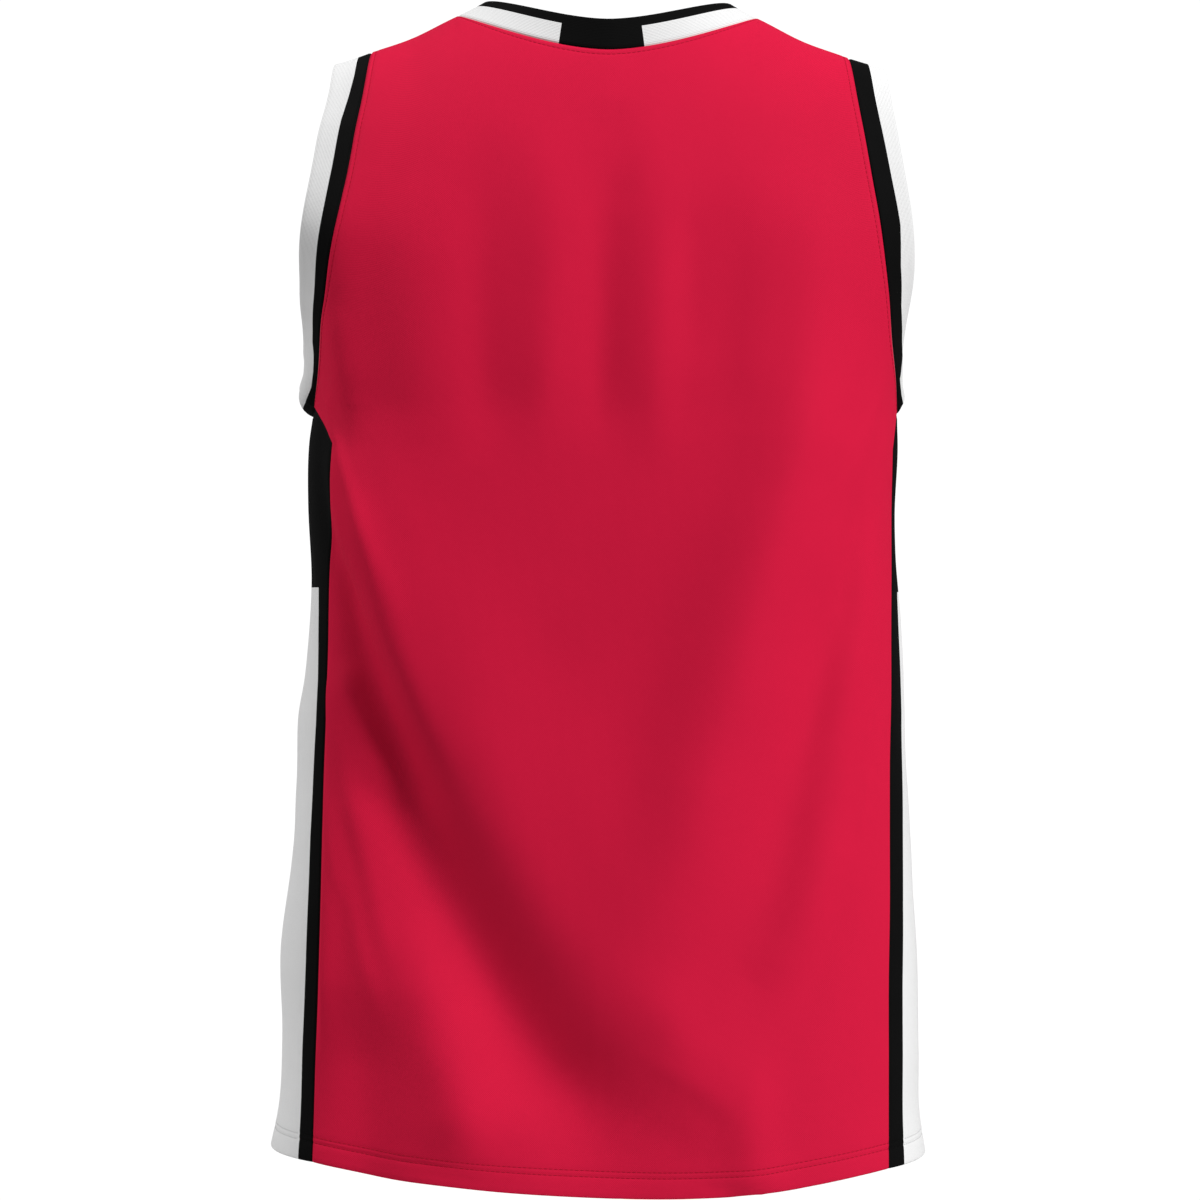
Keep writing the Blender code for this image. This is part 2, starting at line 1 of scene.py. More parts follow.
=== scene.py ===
"""The looks of a basketball jersey: knitted panels, rib bands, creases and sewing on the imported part's form.

Metres, +Z up. The back faces +Y, the wearer's left is at +X, and the origin lies on the shoulders. The tables
and functions of the body form are the part's own, here read more finely.
"""

import math
from collections import namedtuple

import bpy
import numpy as np
from mathutils import Matrix, Vector


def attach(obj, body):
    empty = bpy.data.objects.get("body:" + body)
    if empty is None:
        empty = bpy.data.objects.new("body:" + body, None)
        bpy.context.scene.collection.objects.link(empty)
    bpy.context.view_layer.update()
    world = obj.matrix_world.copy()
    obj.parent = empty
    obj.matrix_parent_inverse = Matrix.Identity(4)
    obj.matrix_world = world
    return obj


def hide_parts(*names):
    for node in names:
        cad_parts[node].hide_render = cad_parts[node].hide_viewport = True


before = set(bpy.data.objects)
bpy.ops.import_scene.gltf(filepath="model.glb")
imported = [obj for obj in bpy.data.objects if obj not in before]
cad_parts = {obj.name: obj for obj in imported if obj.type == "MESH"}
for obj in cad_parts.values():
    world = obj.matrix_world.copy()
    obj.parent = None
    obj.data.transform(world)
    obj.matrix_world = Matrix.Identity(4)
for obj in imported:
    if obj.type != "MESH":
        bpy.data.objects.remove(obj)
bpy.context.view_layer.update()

# ---- Cloth ----
PANEL_CLOTH = 0.0010
HEM_DEPTH = 0.020
HEM_CLOTH = 0.0022  # turned up once
HEM_STEP = 0.0008
SEAM_CLOTH = 0.0021  # the seam's turnings lie inside, under the edge
SEAM_TURNING = 0.0075
TURNING_END = 0.001  # over which the cloth goes from double to single
RIB_CLOTH = 0.0018
SEAM_SINK = 0.0008  # how far cloth is drawn in along a seam
SEAM_REACH = 0.0014
TOPSTITCH_IN = 0.0040  # from the seam
TOPSTITCH_SINK = 0.00028
TOPSTITCH_REACH = 0.0006
TOPSTITCH_FADE = 0.006  # over which its groove begins above the underarm
HEM_LINES = (0.0122, 0.0157)  # the hem's two rows of stitches, above its edge
HEM_LINE_SINKS = (0.00038, 0.00020)
HEM_LINE_REACH = 0.0009

# ---- Body form ----
ARMPIT = -0.265  # the rings end and the arches begin
ROUNDNESS = 2.8  # of the rings: 2 is an ellipse
ARCH_TALL = 2.5  # the same, of the arches
Ring = namedtuple("Ring", "height left right back front")
RINGS = (
    Ring(-0.750, 0.2160, 0.2150, 0.1238, 0.132),
    Ring(-0.712, 0.2097, 0.2086, 0.1230, 0.130),
    Ring(-0.685, 0.2043, 0.2043, 0.1237, 0.127),
    Ring(-0.640, 0.2022, 0.2036, 0.1227, 0.125),
    Ring(-0.585, 0.2037, 0.2023, 0.1202, 0.122),
    Ring(-0.530, 0.1972, 0.1984, 0.1205, 0.120),
    Ring(-0.480, 0.1929, 0.1952, 0.1199, 0.119),
    Ring(-0.440, 0.1923, 0.1920, 0.1193, 0.119),
    Ring(-0.395, 0.1881, 0.1900, 0.1192, 0.120),
    Ring(-0.350, 0.1858, 0.1872, 0.1197, 0.122),
    Ring(-0.305, 0.1880, 0.1855, 0.1198, 0.124),
    Ring(-0.262, 0.1878, 0.1871, 0.1182, 0.125),
    Ring(-0.242, 0.1856, 0.1866, 0.1169, 0.125),
    Ring(-0.215, 0.1880, 0.1884, 0.1166, 0.124),
    Ring(-0.170, 0.1980, 0.1980, 0.1154, 0.121),
    Ring(-0.120, 0.2150, 0.2150, 0.1144, 0.117),
    Ring(-0.070, 0.2250, 0.2250, 0.1130, 0.113),
    Ring(0.040, 0.2300, 0.2300, 0.1129, 0.110),
)
CHEST_WIDE, CHEST_DEEP = 0.187, 0.121  # of the ring along which distances round the body are told
Crest = namedtuple("Crest", "out height")  # the line over the shoulders
CRESTS = (
    Crest(0.000, 0.0360),
    Crest(0.050, 0.0290),
    Crest(0.0963, 0.0113),
    Crest(0.125, -0.0030),
    Crest(0.152, -0.0125),
    Crest(0.190, -0.0270),
    Crest(0.230, -0.0450),
)

# ---- Hem ----
HEM_SIDE = -0.7100  # height of the hem at the side seams
SIDE_RISE = 0.0025  # how much higher it runs halfway between them
Hem = namedtuple("Hem", "out back front")  # its height, from the wearer's right (negative) to the left
HEMS = (
    Hem(-0.190, -0.7118, -0.7100),
    Hem(-0.165, -0.7157, -0.7129),
    Hem(-0.135, -0.7206, -0.7161),
    Hem(-0.100, -0.7256, -0.7190),
    Hem(-0.060, -0.7280, -0.7210),
    Hem(-0.020, -0.7284, -0.7219),
    Hem(0.020, -0.7273, -0.7219),
    Hem(0.060, -0.7251, -0.7210),
    Hem(0.100, -0.7217, -0.7190),
    Hem(0.135, -0.7185, -0.7161),
    Hem(0.165, -0.7139, -0.7129),
    Hem(0.190, -0.7098, -0.7100),
)

# ---- Neck ----
NECK_HALF = 0.0963
BACK_NECK = -0.0165
FRONT_NECK = -0.1050
BACK_SCOOP = 1.7  # power of the neckline's curve
FRONT_SCOOP = 2.0

# ---- Side seams and armholes: distances from the middle ----
Seam = namedtuple("Seam", "height left right")
SIDE_SEAM = (
    Seam(-0.730, 0.1793, 0.1810),
    Seam(-0.690, 0.1784, 0.1811),
    Seam(-0.650, 0.1777, 0.1809),
    Seam(-0.600, 0.1759, 0.1806),
    Seam(-0.550, 0.1752, 0.1812),
    Seam(-0.500, 0.1752, 0.1810),
    Seam(-0.460, 0.1753, 0.1810),
    Seam(-0.420, 0.1746, 0.1818),
    Seam(-0.380, 0.1727, 0.1817),
    Seam(-0.340, 0.1696, 0.1819),
    Seam(-0.300, 0.1655, 0.1818),
    Seam(ARMPIT, 0.1661, 0.1821),
)
CORNER = -0.240  # where the side seam meets the armhole
POINT_OUT = 0.184  # a first guess at the seam, and the corner's distance from the middle
UNDERARM_DIP = {1: 0.0055, -1: 0.0010}  # of the side panel's top edge, at the left and right
BACK_ARMHOLE = (
    Seam(CORNER, 0.1839, 0.1856),
    Seam(-0.222, 0.1809, 0.1841),
    Seam(-0.197, 0.1775, 0.1806),
    Seam(-0.172, 0.1726, 0.1783),
    Seam(-0.147, 0.1694, 0.1748),
    Seam(-0.122, 0.1653, 0.1710),
    Seam(-0.097, 0.1616, 0.1665),
    Seam(-0.071, 0.1583, 0.1623),
    Seam(-0.045, 0.1540, 0.1581),
    Seam(-0.012, 0.1507, 0.1542),
)
FRONT_ARMHOLE = (
    Seam(CORNER, 0.1839, 0.1856),
    Seam(-0.222, 0.1760, 0.1775),
    Seam(-0.197, 0.1680, 0.1690),
    Seam(-0.172, 0.1610, 0.1620),
    Seam(-0.147, 0.1560, 0.1570),
    Seam(-0.122, 0.1525, 0.1535),
    Seam(-0.097, 0.1500, 0.1515),
    Seam(-0.071, 0.1490, 0.1505),
    Seam(-0.045, 0.1490, 0.1510),
    Seam(-0.012, 0.1507, 0.1542),
)

# ---- Rib bands ----
ARMHOLE_BAND = 0.025
NECK_BAND = 0.020
BAND_LINES = (0, 0.0008, 0.0016, 0.0026, 0.0045)  # extra lines along a band's seam
ARMHOLE_CALM, NECK_CALM = 40, 12  # rounds that even out a band's direction
# degrees that a band leans outward at its seam and at its free edge
Lean = namedtuple("Lean", "height left_root left_edge right_root right_edge")
ARMHOLE_LEANS = (
    Lean(-0.250, 93.4, -25.5, 66.7, -48.3),
    Lean(-0.238, 55.1, -35.4, 35.0, -57.0),
    Lean(-0.222, 18.1, -2.5, 15.1, -31.4),
    Lean(-0.205, 4.9, 5.4, 0.1, -12.3),
    Lean(-0.180, 1.1, 7.4, -5.1, -1.4),
    Lean(-0.150, 0.9, 1.6, 2.3, 0.4),
    Lean(-0.110, -1.2, 1.1, 0.2, 0.5),
    Lean(-0.070, -2.0, 2.2, -3.8, -1.7),
    Lean(-0.030, -7.6, -0.1, -2.3, 1.5),
    Lean(0.000, 1.0, 7.4, 6.1, 10.3),
)
NECK_LEANS = (
    Lean(FRONT_NECK, 4.0, 4.0, 4.0, 4.0),
    Lean(BACK_NECK, 16.0, 20.0, 16.0, 20.0),
    Lean(0.0113, 0.0, 4.0, 0.0, 4.0),
)

# ---- Folds through three places (distance round the body from the middle, height), left positive ----
# out is how far the ridge rises or, below 0, the trough sinks
Fold = namedtuple("Fold", "start middle end out width")
BACK_FOLDS = (
    Fold((0.205, -0.213), (0.049, -0.485), (-0.103, -0.721), 0.0086, 0.051),
    Fold((0.181, -0.319), (0.077, -0.572), (-0.043, -0.731), -0.0149, 0.037),
    Fold((-0.073, -0.618), (-0.085, -0.694), (-0.083, -0.73), 0.0044, 0.017),
    Fold((0.179, -0.25), (0.16, -0.329), (0.1, -0.463), 0.0051, 0.012),
    Fold((0.168, -0.252), (0.125, -0.392), (0.078, -0.496), 0.0035, 0.017),
    Fold((0.13, -0.375), (0.103, -0.46), (0.057, -0.522), 0.0014, 0.015),
    Fold((0.176, -0.385), (0.137, -0.521), (0.07, -0.61), 0.0012, 0.014),
    Fold((0.122, -0.544), (0.084, -0.642), (0.082, -0.719), 0.0065, 0.022),
    Fold((0.137, -0.595), (0.135, -0.69), (0.121, -0.77), -0.0066, 0.023),
    Fold((0.134, -0.075), (0.165, -0.177), (0.156, -0.273), 0.0052, 0.022),
    Fold((0.091, -0.088), (0.117, -0.188), (0.107, -0.277), 0.0024, 0.023),
    Fold((0.058, -0.062), (0.072, -0.175), (0.072, -0.285), -0.0025, 0.015),
    Fold((0.027, -0.045), (0.034, -0.169), (0.043, -0.283), 0.0032, 0.015),
    Fold((0.000, -0.07), (0.001, -0.173), (0.004, -0.278), -0.0025, 0.012),
    Fold((-0.023, -0.036), (-0.029, -0.172), (-0.031, -0.289), 0.0031, 0.015),
    Fold((-0.059, -0.073), (-0.091, -0.173), (-0.079, -0.271), 0.0015, 0.016),
    Fold((-0.085, -0.071), (-0.121, -0.188), (-0.103, -0.301), 0.0047, 0.024),
    Fold((-0.157, -0.18), (-0.08, -0.387), (-0.026, -0.601), 0.0123, 0.032),
    Fold((-0.145, -0.28), (-0.11, -0.371), (-0.08, -0.477), 0.0016, 0.02),
    Fold((-0.145, -0.318), (-0.129, -0.442), (-0.081, -0.577), -0.0049, 0.019),
    Fold((-0.173, -0.304), (-0.135, -0.482), (-0.104, -0.61), 0.0028, 0.018),
    Fold((-0.148, -0.49), (-0.118, -0.559), (-0.083, -0.598), 0.0017, 0.015),
    Fold((0.035, -0.343), (0.033, -0.458), (-0.005, -0.581), -0.0019, 0.026),
    Fold((0.076, -0.367), (0.042, -0.487), (-0.022, -0.597), -0.002, 0.023),
    Fold((-0.031, -0.577), (-0.047, -0.641), (-0.079, -0.668), 0.002, 0.016),
)
FRONT_FOLDS = (
    Fold((0.19, -0.25), (0.1, -0.42), (0.02, -0.64), 0.006, 0.034),
    Fold((-0.19, -0.27), (-0.12, -0.46), (-0.07, -0.7), 0.006, 0.032),
    Fold((0.15, -0.48), (0.11, -0.6), (0.1, -0.73), -0.006, 0.03),
    Fold((0.045, -0.18), (0.035, -0.28), (0.02, -0.4), 0.003, 0.024),
    Fold((-0.05, -0.17), (-0.045, -0.28), (-0.03, -0.38), 0.003, 0.024),
)
# fine creases, too small for the part's solids
BACK_CREASES = (
    Fold((0.189, -0.25), (0.169, -0.339), (0.133, -0.423), -0.0019, 0.012),
    Fold((0.17, -0.336), (0.161, -0.386), (0.147, -0.441), -0.002, 0.01),
    Fold((0.163, -0.176), (0.17, -0.216), (0.155, -0.268), 0.0018, 0.012),
    Fold((-0.168, -0.286), (-0.159, -0.336), (-0.154, -0.397), -0.0015, 0.01),
    Fold((0.2032, -0.2122), (0.1659, -0.2812), (0.1412, -0.3466), 0.0011, 0.006),
    Fold((0.1665, -0.3027), (0.1638, -0.3352), (0.1498, -0.3734), 0.0005, 0.0045),
    Fold((0.1748, -0.4743), (0.1493, -0.5512), (0.1204, -0.6359), 0.001, 0.006),
    Fold((-0.202, -0.21), (-0.1731, -0.255), (-0.1557, -0.2984), 0.0009, 0.006),
    Fold((-0.1775, -0.4172), (-0.1704, -0.4337), (-0.1677, -0.4555), 0.0006, 0.0045),
    Fold((-0.1669, -0.461), (-0.1642, -0.4828), (-0.1533, -0.5106), 0.0006, 0.0045),
    Fold((-0.011, -0.6328), (-0.0552, -0.6601), (-0.0811, -0.681), 0.0006, 0.006),
    Fold((0.235, -0.41), (0.24, -0.46), (0.245, -0.52), 0.0016, 0.008),
    Fold((0.23, -0.3), (0.225, -0.35), (0.23, -0.4), -0.001, 0.009),
    Fold((-0.23, -0.33), (-0.235, -0.4), (-0.23, -0.47), 0.0014, 0.009),
    Fold((-0.245, -0.52), (-0.235, -0.59), (-0.24, -0.66), -0.0012, 0.009),
)
# soft creases of the back that end at its side seams
PANEL_CREASES = (
    Fold((0.1717, -0.394), (0.1532, -0.44), (0.1275, -0.492), 0.005, 0.012),
    Fold((0.207, -0.2195), (0.157, -0.291), (0.135, -0.37), 0.0011, 0.004),
    Fold((0.1695, -0.2334), (0.148, -0.3136), (0.118, -0.3945), 0.0022, 0.01),
    Fold((0.176, -0.3), (0.144, -0.404), (0.098, -0.505), -0.0027, 0.0125),
    Fold((0.1648, -0.3741), (0.126, -0.4737), (0.0702, -0.5808), -0.0029, 0.0191),
    Fold((0.193, -0.385), (0.166, -0.455), (0.13, -0.535), 0.0036, 0.015),
    Fold((0.1598, -0.28), (0.1344, -0.3519), (0.1023, -0.4365), 0.0012, 0.0095),
    Fold((0.1811, -0.4624), (0.1709, -0.511), (0.1494, -0.5593), 0.0006, 0.0037),
    Fold((0.1621, -0.229), (0.1247, -0.3367), (0.0953, -0.4703), 0.002, 0.0188),
    Fold((0.0822, -0.5163), (0.0437, -0.6346), (-0.0243, -0.6773), -0.0026, 0.026),
    Fold((0.1817, -0.4551), (0.1672, -0.5547), (0.1696, -0.6582), 0.0032, 0.0108),
    Fold((0.1697, -0.4603), (0.1414, -0.5303), (0.1146, -0.6033), 0.0013, 0.0071),
    Fold((0.1028, -0.622), (0.0817, -0.6689), (0.0567, -0.7231), 0.001, 0.0139),
    Fold((0.069, -0.1122), (0.0836, -0.1914), (0.0782, -0.2493), -0.0003, 0.0121),
    Fold((-0.0053, -0.0454), (-0.0058, -0.0907), (-0.0131, -0.1276), -0.001, 0.0125),
    Fold((-0.0437, -0.1005), (-0.0499, -0.1604), (-0.055, -0.2252), -0.0013, 0.0124),
    Fold((-0.0721, -0.0798), (-0.0707, -0.1643), (-0.0776, -0.2511), -0.001, 0.0142),
    Fold((-0.0103, -0.6475), (-0.031, -0.6865), (-0.0574, -0.6903), -0.0007, 0.0129),
    Fold((-0.0897, -0.5827), (-0.0808, -0.6283), (-0.0768, -0.6794), -0.0004, 0.012),
    Fold((-0.1569, -0.2304), (-0.1171, -0.3331), (-0.092, -0.4239), -0.0014, 0.0162),
    Fold((-0.1687, -0.2968), (-0.1478, -0.3845), (-0.112, -0.483), -0.0012, 0.0099),
    Fold((-0.1901, -0.2785), (-0.1754, -0.3576), (-0.1545, -0.4474), 0.0006, 0.0101),
    Fold((-0.1497, -0.5207), (-0.1342, -0.5745), (-0.1066, -0.6315), -0.0007, 0.0079),
)
FRONT_CREASES = (
    Fold((0.195, -0.22), (0.16, -0.285), (0.135, -0.35), 0.001, 0.006),
    Fold((-0.195, -0.215), (-0.165, -0.27), (-0.148, -0.32), 0.0011, 0.006),
    Fold((0.17, -0.48), (0.145, -0.55), (0.115, -0.63), 0.0009, 0.006),
    Fold((-0.155, -0.46), (-0.14, -0.51), (-0.115, -0.56), 0.0008, 0.0055),
    Fold((-0.02, -0.59), (-0.05, -0.64), (-0.065, -0.69), 0.0008, 0.007),
)
FOLD_TAPER = 0.30  # share of a fold's length over which each end fades
SEAM_CALM = 0.72  # share of the way up from the armpits where folds begin to fade towards the shoulder seam
PANEL_CALM = 0.0055

# ---- How finely the cloth is divided ----
ROWS_BELOW = 96
ROWS_ABOVE = 52
ROW_CROWDING = 1.25  # power that crowds them towards the armpits
POINT_ROWS = 6  # from the armpits to the corner
HEM_ROWS = (HEM_CLOTH / 2, 0.004, 0.0075)
BESIDE_LINE = (-0.0016, -0.0008, 0, 0.0008, 0.0016)  # rows across each line of hem stitches
NECK_COLUMNS = 28
SHOULDER_COLUMNS = 28
SIDE_COLUMNS = 30
BAND_ROWS = 8
FOLD_STEPS = 14
GIRTH_STEPS = 720
EDGE_ROUNDS = 16  # that close in on the side edge of a row
NUDGE = 1e-4
NOSE_ANGLES = (54, 18, -18, -54)  # of the rows that round off a free edge
SHARP_ANGLE = 60
EDGE_LINES = (0.0006, 0.0013, 0.0024, 0.0033, 0.0040, 0.0047, 0.0058, 0.0080)  # extra lines along a seam

# ---- Colours: linear red, green, blue ----
RED = (0.663, 0.0110, 0.052)
WHITE = (0.855, 0.855, 0.855)
BLACK = (0.0048, 0.0048, 0.0048)
RED_THREAD = (0.42, 0.008, 0.028)
WHITE_THREAD = (0.62, 0.62, 0.62)
GREY_THREAD = (0.36, 0.36, 0.37)
FLOOR_PALE = (0.80, 0.80, 0.80)
STUDIO_WHITE = (1.0, 1.0, 1.0)

# ---- Where the colours meet ----
BLACK_ABOVE = -0.3545  # on a side panel
STRIPE_WIDTHS = {  # of the black stripe beside a side seam, by height
    1: ((-0.720, 0.0120), (-0.640, 0.0128), (-0.590, 0.0116), (-0.510, 0.0122), (-0.475, 0.0109),
        (-0.440, 0.0094), (-0.412, 0.0098), (-0.390, 0.0118), (-0.355, 0.0155)),
    -1: ((-0.720, 0.0150), (-0.600, 0.0147), (-0.550, 0.0158), (-0.500, 0.0187), (-0.470, 0.0210),
         (-0.430, 0.0238), (-0.400, 0.0215), (-0.360, 0.0170)),
}
BLACK_WIDTHS = {  # of an armhole band, by height
    1: ((-0.245, 0.0105), (-0.238, 0.0070), (-0.228, 0.0042), (-0.218, 0.0052), (-0.208, 0.0070),
        (-0.200, 0.0096), (-0.150, 0.0100), (-0.100, 0.0110), (-0.060, 0.0110), (-0.030, 0.0085)),
    -1: ((-0.245, 0.0110), (-0.238, 0.0075), (-0.220, 0.0052), (-0.212, 0.0105), (-0.205, 0.0165),
         (-0.190, 0.0165), (-0.175, 0.0128), (-0.150, 0.0120), (-0.125, 0.0144), (-0.040, 0.0125)),
}
NECK_STRIPE = 0.0066
BLOCK_LEFT, BLOCK_RIGHT = 0.0305, -0.0232  # ends of the neck band's black block, at its seam
BLOCK_SLANT = 0.13
EDGE_SHOWS = 0.0014  # of the red panel's pale edge along the lower armhole
EDGE_LOW, EDGE_HIGH = -0.215, -0.175  # heights between which it fades
EDGE_START = 0.003  # below the corner, where it begins
EDGE_BLUR = 0.0001

# ---- Knit and rib ----
SOFT_GLOSS = 0.03
KNIT_PITCH = 0.0013
HOLE_EDGE, HOLE_FULL = 0.55, 0.95  # of the knit's lattice
HOLE_DEPTH = -0.5
# painted shade: share of its colour that cloth keeps in the knit's pin holes and the rib's grooves
PAINTED_HOLLOW_SHADE = 0.55
WALE_RISE, COURSE_RISE = 0.15, 0.08
RIB_PITCH = 0.0010
COURSE_PITCH = 0.0009
RIB_RISE, RIB_COURSE_RISE = 0.32, 0.10
GROOVE_TOP, GROOVE_FULL = 0.35, 0.15
BUMP_STRENGTH = 0.5
KNIT_BUMP, RIB_BUMP, THREAD_BUMP = 0.00025, 0.00018, 0.00005
KNIT_ROUGH, RIB_ROUGH, THREAD_ROUGH = 0.70, 0.72, 0.55
ROUGH_SPREAD = 0.10
ROUGH_MOTTLE = (90.0, 2.0)  # scale and detail
DYE_MOTTLE = (38.0, 3.0)
RED_SPREAD, WHITE_SPREAD, BLACK_SPREAD = 0.05, 0.03, 0.25  # unevenness of the dye

# ---- Thread ----
STITCH_PITCH = 0.0032
STITCH_LENGTH = 0.0027
STITCH_WIDTH = 0.00042
STITCH_PROUD = 0.15  # share of its width that its middle lies outside the cloth
STITCH_SIDES, STITCH_RINGS = 8, 5
SHOULDER_ROWS = 4  # left without armhole stitches
TWIST_SCALE = 1400.0
# painted shade: share of its colour that thread keeps in the grooves between its plies
TWIST_PAINTED_SHADE = 0.8

# ---- Floor, light, camera ----
FLOOR_HEIGHT, FLOOR_RADIUS, FLOOR_SIDES = -1.42, 1.5, 96
FLOOR_ROUGH = 0.9
TARGET = Vector((0.0, 0.0, -0.36))
LAMP_AWAY = 9.0
Lamp = namedtuple("Lamp", "name direction size power")
LAMPS = (
    Lamp("key_light", (-0.631, 0.506, 0.588), 3.0, 809.0),
    Lamp("side_light", (0.694, -0.047, 0.719), 4.0, 500.0),
)
STUDIO_SEEN, STUDIO_LIT = 1.05, 0.196  # the world's strength for the camera and for the cloth
CAMERA_PLACE = (0.0019, 2.9, -0.361)
CAMERA_ROLL = 0.45
CAMERA_LENS, CAMERA_SENSOR = 135.9, 36.0


# ================= the form =================


def column(table, name):
    return np.array([getattr(row, name) for row in table])


def eased(keys, values, at):
    """Reads a table between its rows, along a smooth curve through them."""
    slopes = np.gradient(values, keys)
    i = np.clip(np.searchsorted(keys, at) - 1, 0, len(keys) - 2)
    span = keys[i + 1] - keys[i]
    t = np.clip((at - keys[i]) / span, 0, 1)
    rise = t * t * (3 - 2 * t)
    leave = t * (1 - t) ** 2 * span * slopes[i]
    arrive = -(t * t) * (1 - t) * span * slopes[i + 1]
    return values[i] + rise * (values[i + 1] - values[i]) + leave + arrive


def read(table, name, height):
    return eased(column(table, "height"), column(table, name), height)


def handed(table, height, hand, suffix=""):
    return np.where(hand > 0, read(table, "left" + suffix, height), read(table, "right" + suffix, height))


def smooth(t):
    t = np.clip(t, 0, 1)
    return t * t * (3 - 2 * t)


def crest(x):
    return eased(column(CRESTS, "out"), column(CRESTS, "height"), np.abs(x))


def hem(x, side):
    back, front = (eased(column(HEMS, "out"), column(HEMS, name), x) for name in ("back", "front"))
    return np.where(side > 0, back, front)


def depth(height, side):
    return np.where(side > 0, read(RINGS, "back", height), read(RINGS, "front", height))


def arch(x, height):
    share = np.clip((height - ARMPIT) / (crest(x) - ARMPIT), 0, 1)
    return np.sqrt(1 - share**ARCH_TALL)


def turn_at(x, height):
    share = np.clip(np.abs(x) / handed(RINGS, height, x), 0, 1)
    return np.arccos(share ** (ROUNDNESS / 2))


def girth_table():
    turns = np.linspace(math.pi / 2, -math.pi / 2, GIRTH_STEPS + 1)
    x = np.abs(np.cos(turns)) ** (2 / ROUNDNESS) * CHEST_WIDE
    y = np.sign(np.sin(turns)) * np.abs(np.sin(turns)) ** (2 / ROUNDNESS) * CHEST_DEEP
    steps = np.hypot(np.diff(x), np.diff(y))
    return turns, np.concatenate([[0], np.cumsum(steps)])


TURNS, GIRTHS = girth_table()


def girth_at(turn):
    return np.interp(-turn, -TURNS, GIRTHS)


def curve_distance(fold, across, height):
    start, middle, end = (np.array(p) for p in (fold.start, fold.middle, fold.end))
    bend = 2 * middle - (start + end) / 2
    t = np.linspace(0, 1, FOLD_STEPS + 1)[:, None]
    line = (1 - t) ** 2 * start + 2 * t * (1 - t) * bend + t**2 * end
    place = np.stack([across, height], axis=-1)
    nearest = np.full(across.shape, np.inf)
    along = np.zeros(across.shape)
    for i in range(FOLD_STEPS):
        run = line[i + 1] - line[i]
        share = np.clip(((place - line[i]) @ run) / (run @ run), 0, 1)
        away = np.linalg.norm(place - line[i] - share[..., None] * run, axis=-1)
        closer = away < nearest
        nearest = np.where(closer, away, nearest)
        along = np.where(closer, (i + share) / FOLD_STEPS, along)
    return nearest, along


def folds_at(place, turn):
    """How far folds and creases lift the cloth off the smooth form."""
    x, height = place[..., 0], place[..., 2]
    hand = np.where(x >= 0, 1, -1)
    girth = girth_at(turn)
    lift = np.zeros(np.shape(girth))
    back, front = hand * girth, hand * (GIRTHS[-1] - girth)
    edge = girth_at(turn_at(hand * seam_out(height, hand, 1), height))
    inside = smooth((edge - girth) / PANEL_CALM)
    groups = (
        (BACK_FOLDS + BACK_CREASES, back, 1),
        (PANEL_CREASES, back, inside),
        (FRONT_FOLDS + FRONT_CREASES, front, 1),
    )
    for folds, across, share in groups:
        for fold in folds:
            away, along = curve_distance(fold, across, height)
            taper = smooth(np.minimum(along, 1 - along) / FOLD_TAPER)
            lift = lift + fold.out * np.exp(-((away / fold.width) ** 2)) * taper * share
    share = (height - ARMPIT) / (crest(x) - ARMPIT)
    return lift * (1 - smooth((share - SEAM_CALM) / (1 - SEAM_CALM)))


def panel_form(side, x, rise):
    """A place on the back (side 1) or front (side -1), and its turn. Rise is 0 at the hem, 1 at the armpits
    and 2 on the crest."""
    bottom = hem(x, side)
    lean = np.maximum(rise - 1, 0) * math.pi / 2
    below = bottom + (ARMPIT - bottom) * np.minimum(rise, 1)
    above = (crest(x) - ARMPIT) * np.abs(np.sin(lean)) ** (2 / ARCH_TALL)
    height = below + above
    turn = turn_at(x, height)
    wide = depth(height, side) * np.sin(turn) ** (2 / ROUNDNESS)
    y = side * wide * np.cos(lean)
    return np.stack([x, y, height], axis=-1), side * turn


def flank_form(hand, turn, height):
    """A place on a side, and its turn: 0 at the side, above 0 towards the back, below 0 towards the front."""
    x = hand * handed(RINGS, height, hand) * np.cos(turn) ** (2 / ROUNDNESS)
    wide = depth(height, turn) * np.abs(np.sin(turn)) ** (2 / ROUNDNESS)
    y = np.sign(turn) * wide * arch(x, height)
    return np.stack([x, y, height], axis=-1), turn


def normals(points_at, u, v, facing):
    across = points_at(u + NUDGE, v) - points_at(u - NUDGE, v)
    along = points_at(u, v + NUDGE) - points_at(u, v - NUDGE)
    out = np.cross(along, across) * facing
    return out / np.linalg.norm(out, axis=-1, keepdims=True)


def cloth(form, u, v, facing):
    """Outer points of the folded cloth and the directions they face."""

    def folded(u, v):
        points, turn = form(u, v)
        return points + folds_at(points, turn)[..., None] * normals(lambda a, b: form(a, b)[0], u, v, facing)

    return folded(u, v), normals(folded, u, v, facing)


def seam_out(height, hand, side):
    armhole = BACK_ARMHOLE if side > 0 else FRONT_ARMHOLE
    lower, upper = (handed(t, np.array(h), hand) for t, h in ((SIDE_SEAM, ARMPIT), (armhole, CORNER)))
    slant = lower + (upper - lower) * (height - ARMPIT) / (CORNER - ARMPIT)
    edge = np.where(height < ARMPIT, handed(SIDE_SEAM, height, hand), slant)
    return np.where(height > CORNER, handed(armhole, height, hand), edge)


def panel_height(x, rise, side):
    return panel_form(side, x, rise)[0][..., 2]


def edge_at(rise, hand, side):
    x = np.full(np.shape(rise), hand * POINT_OUT)
    for _ in range(EDGE_ROUNDS):
        x = hand * seam_out(panel_height(x, rise, side), hand, side)
    return x


def rise_at(x, height):
    share = np.clip((height - ARMPIT) / (crest(x) - ARMPIT), 0, 1)
    return 1 + np.arcsin(share ** (ARCH_TALL / 2)) * 2 / math.pi


def neck_height(x, side):
    low, power = (BACK_NECK, BACK_SCOOP) if side > 0 else (FRONT_NECK, FRONT_SCOOP)
    return low + (crest(NECK_HALF) - low) * (np.abs(x) / NECK_HALF) ** power


# ================= the grids =================


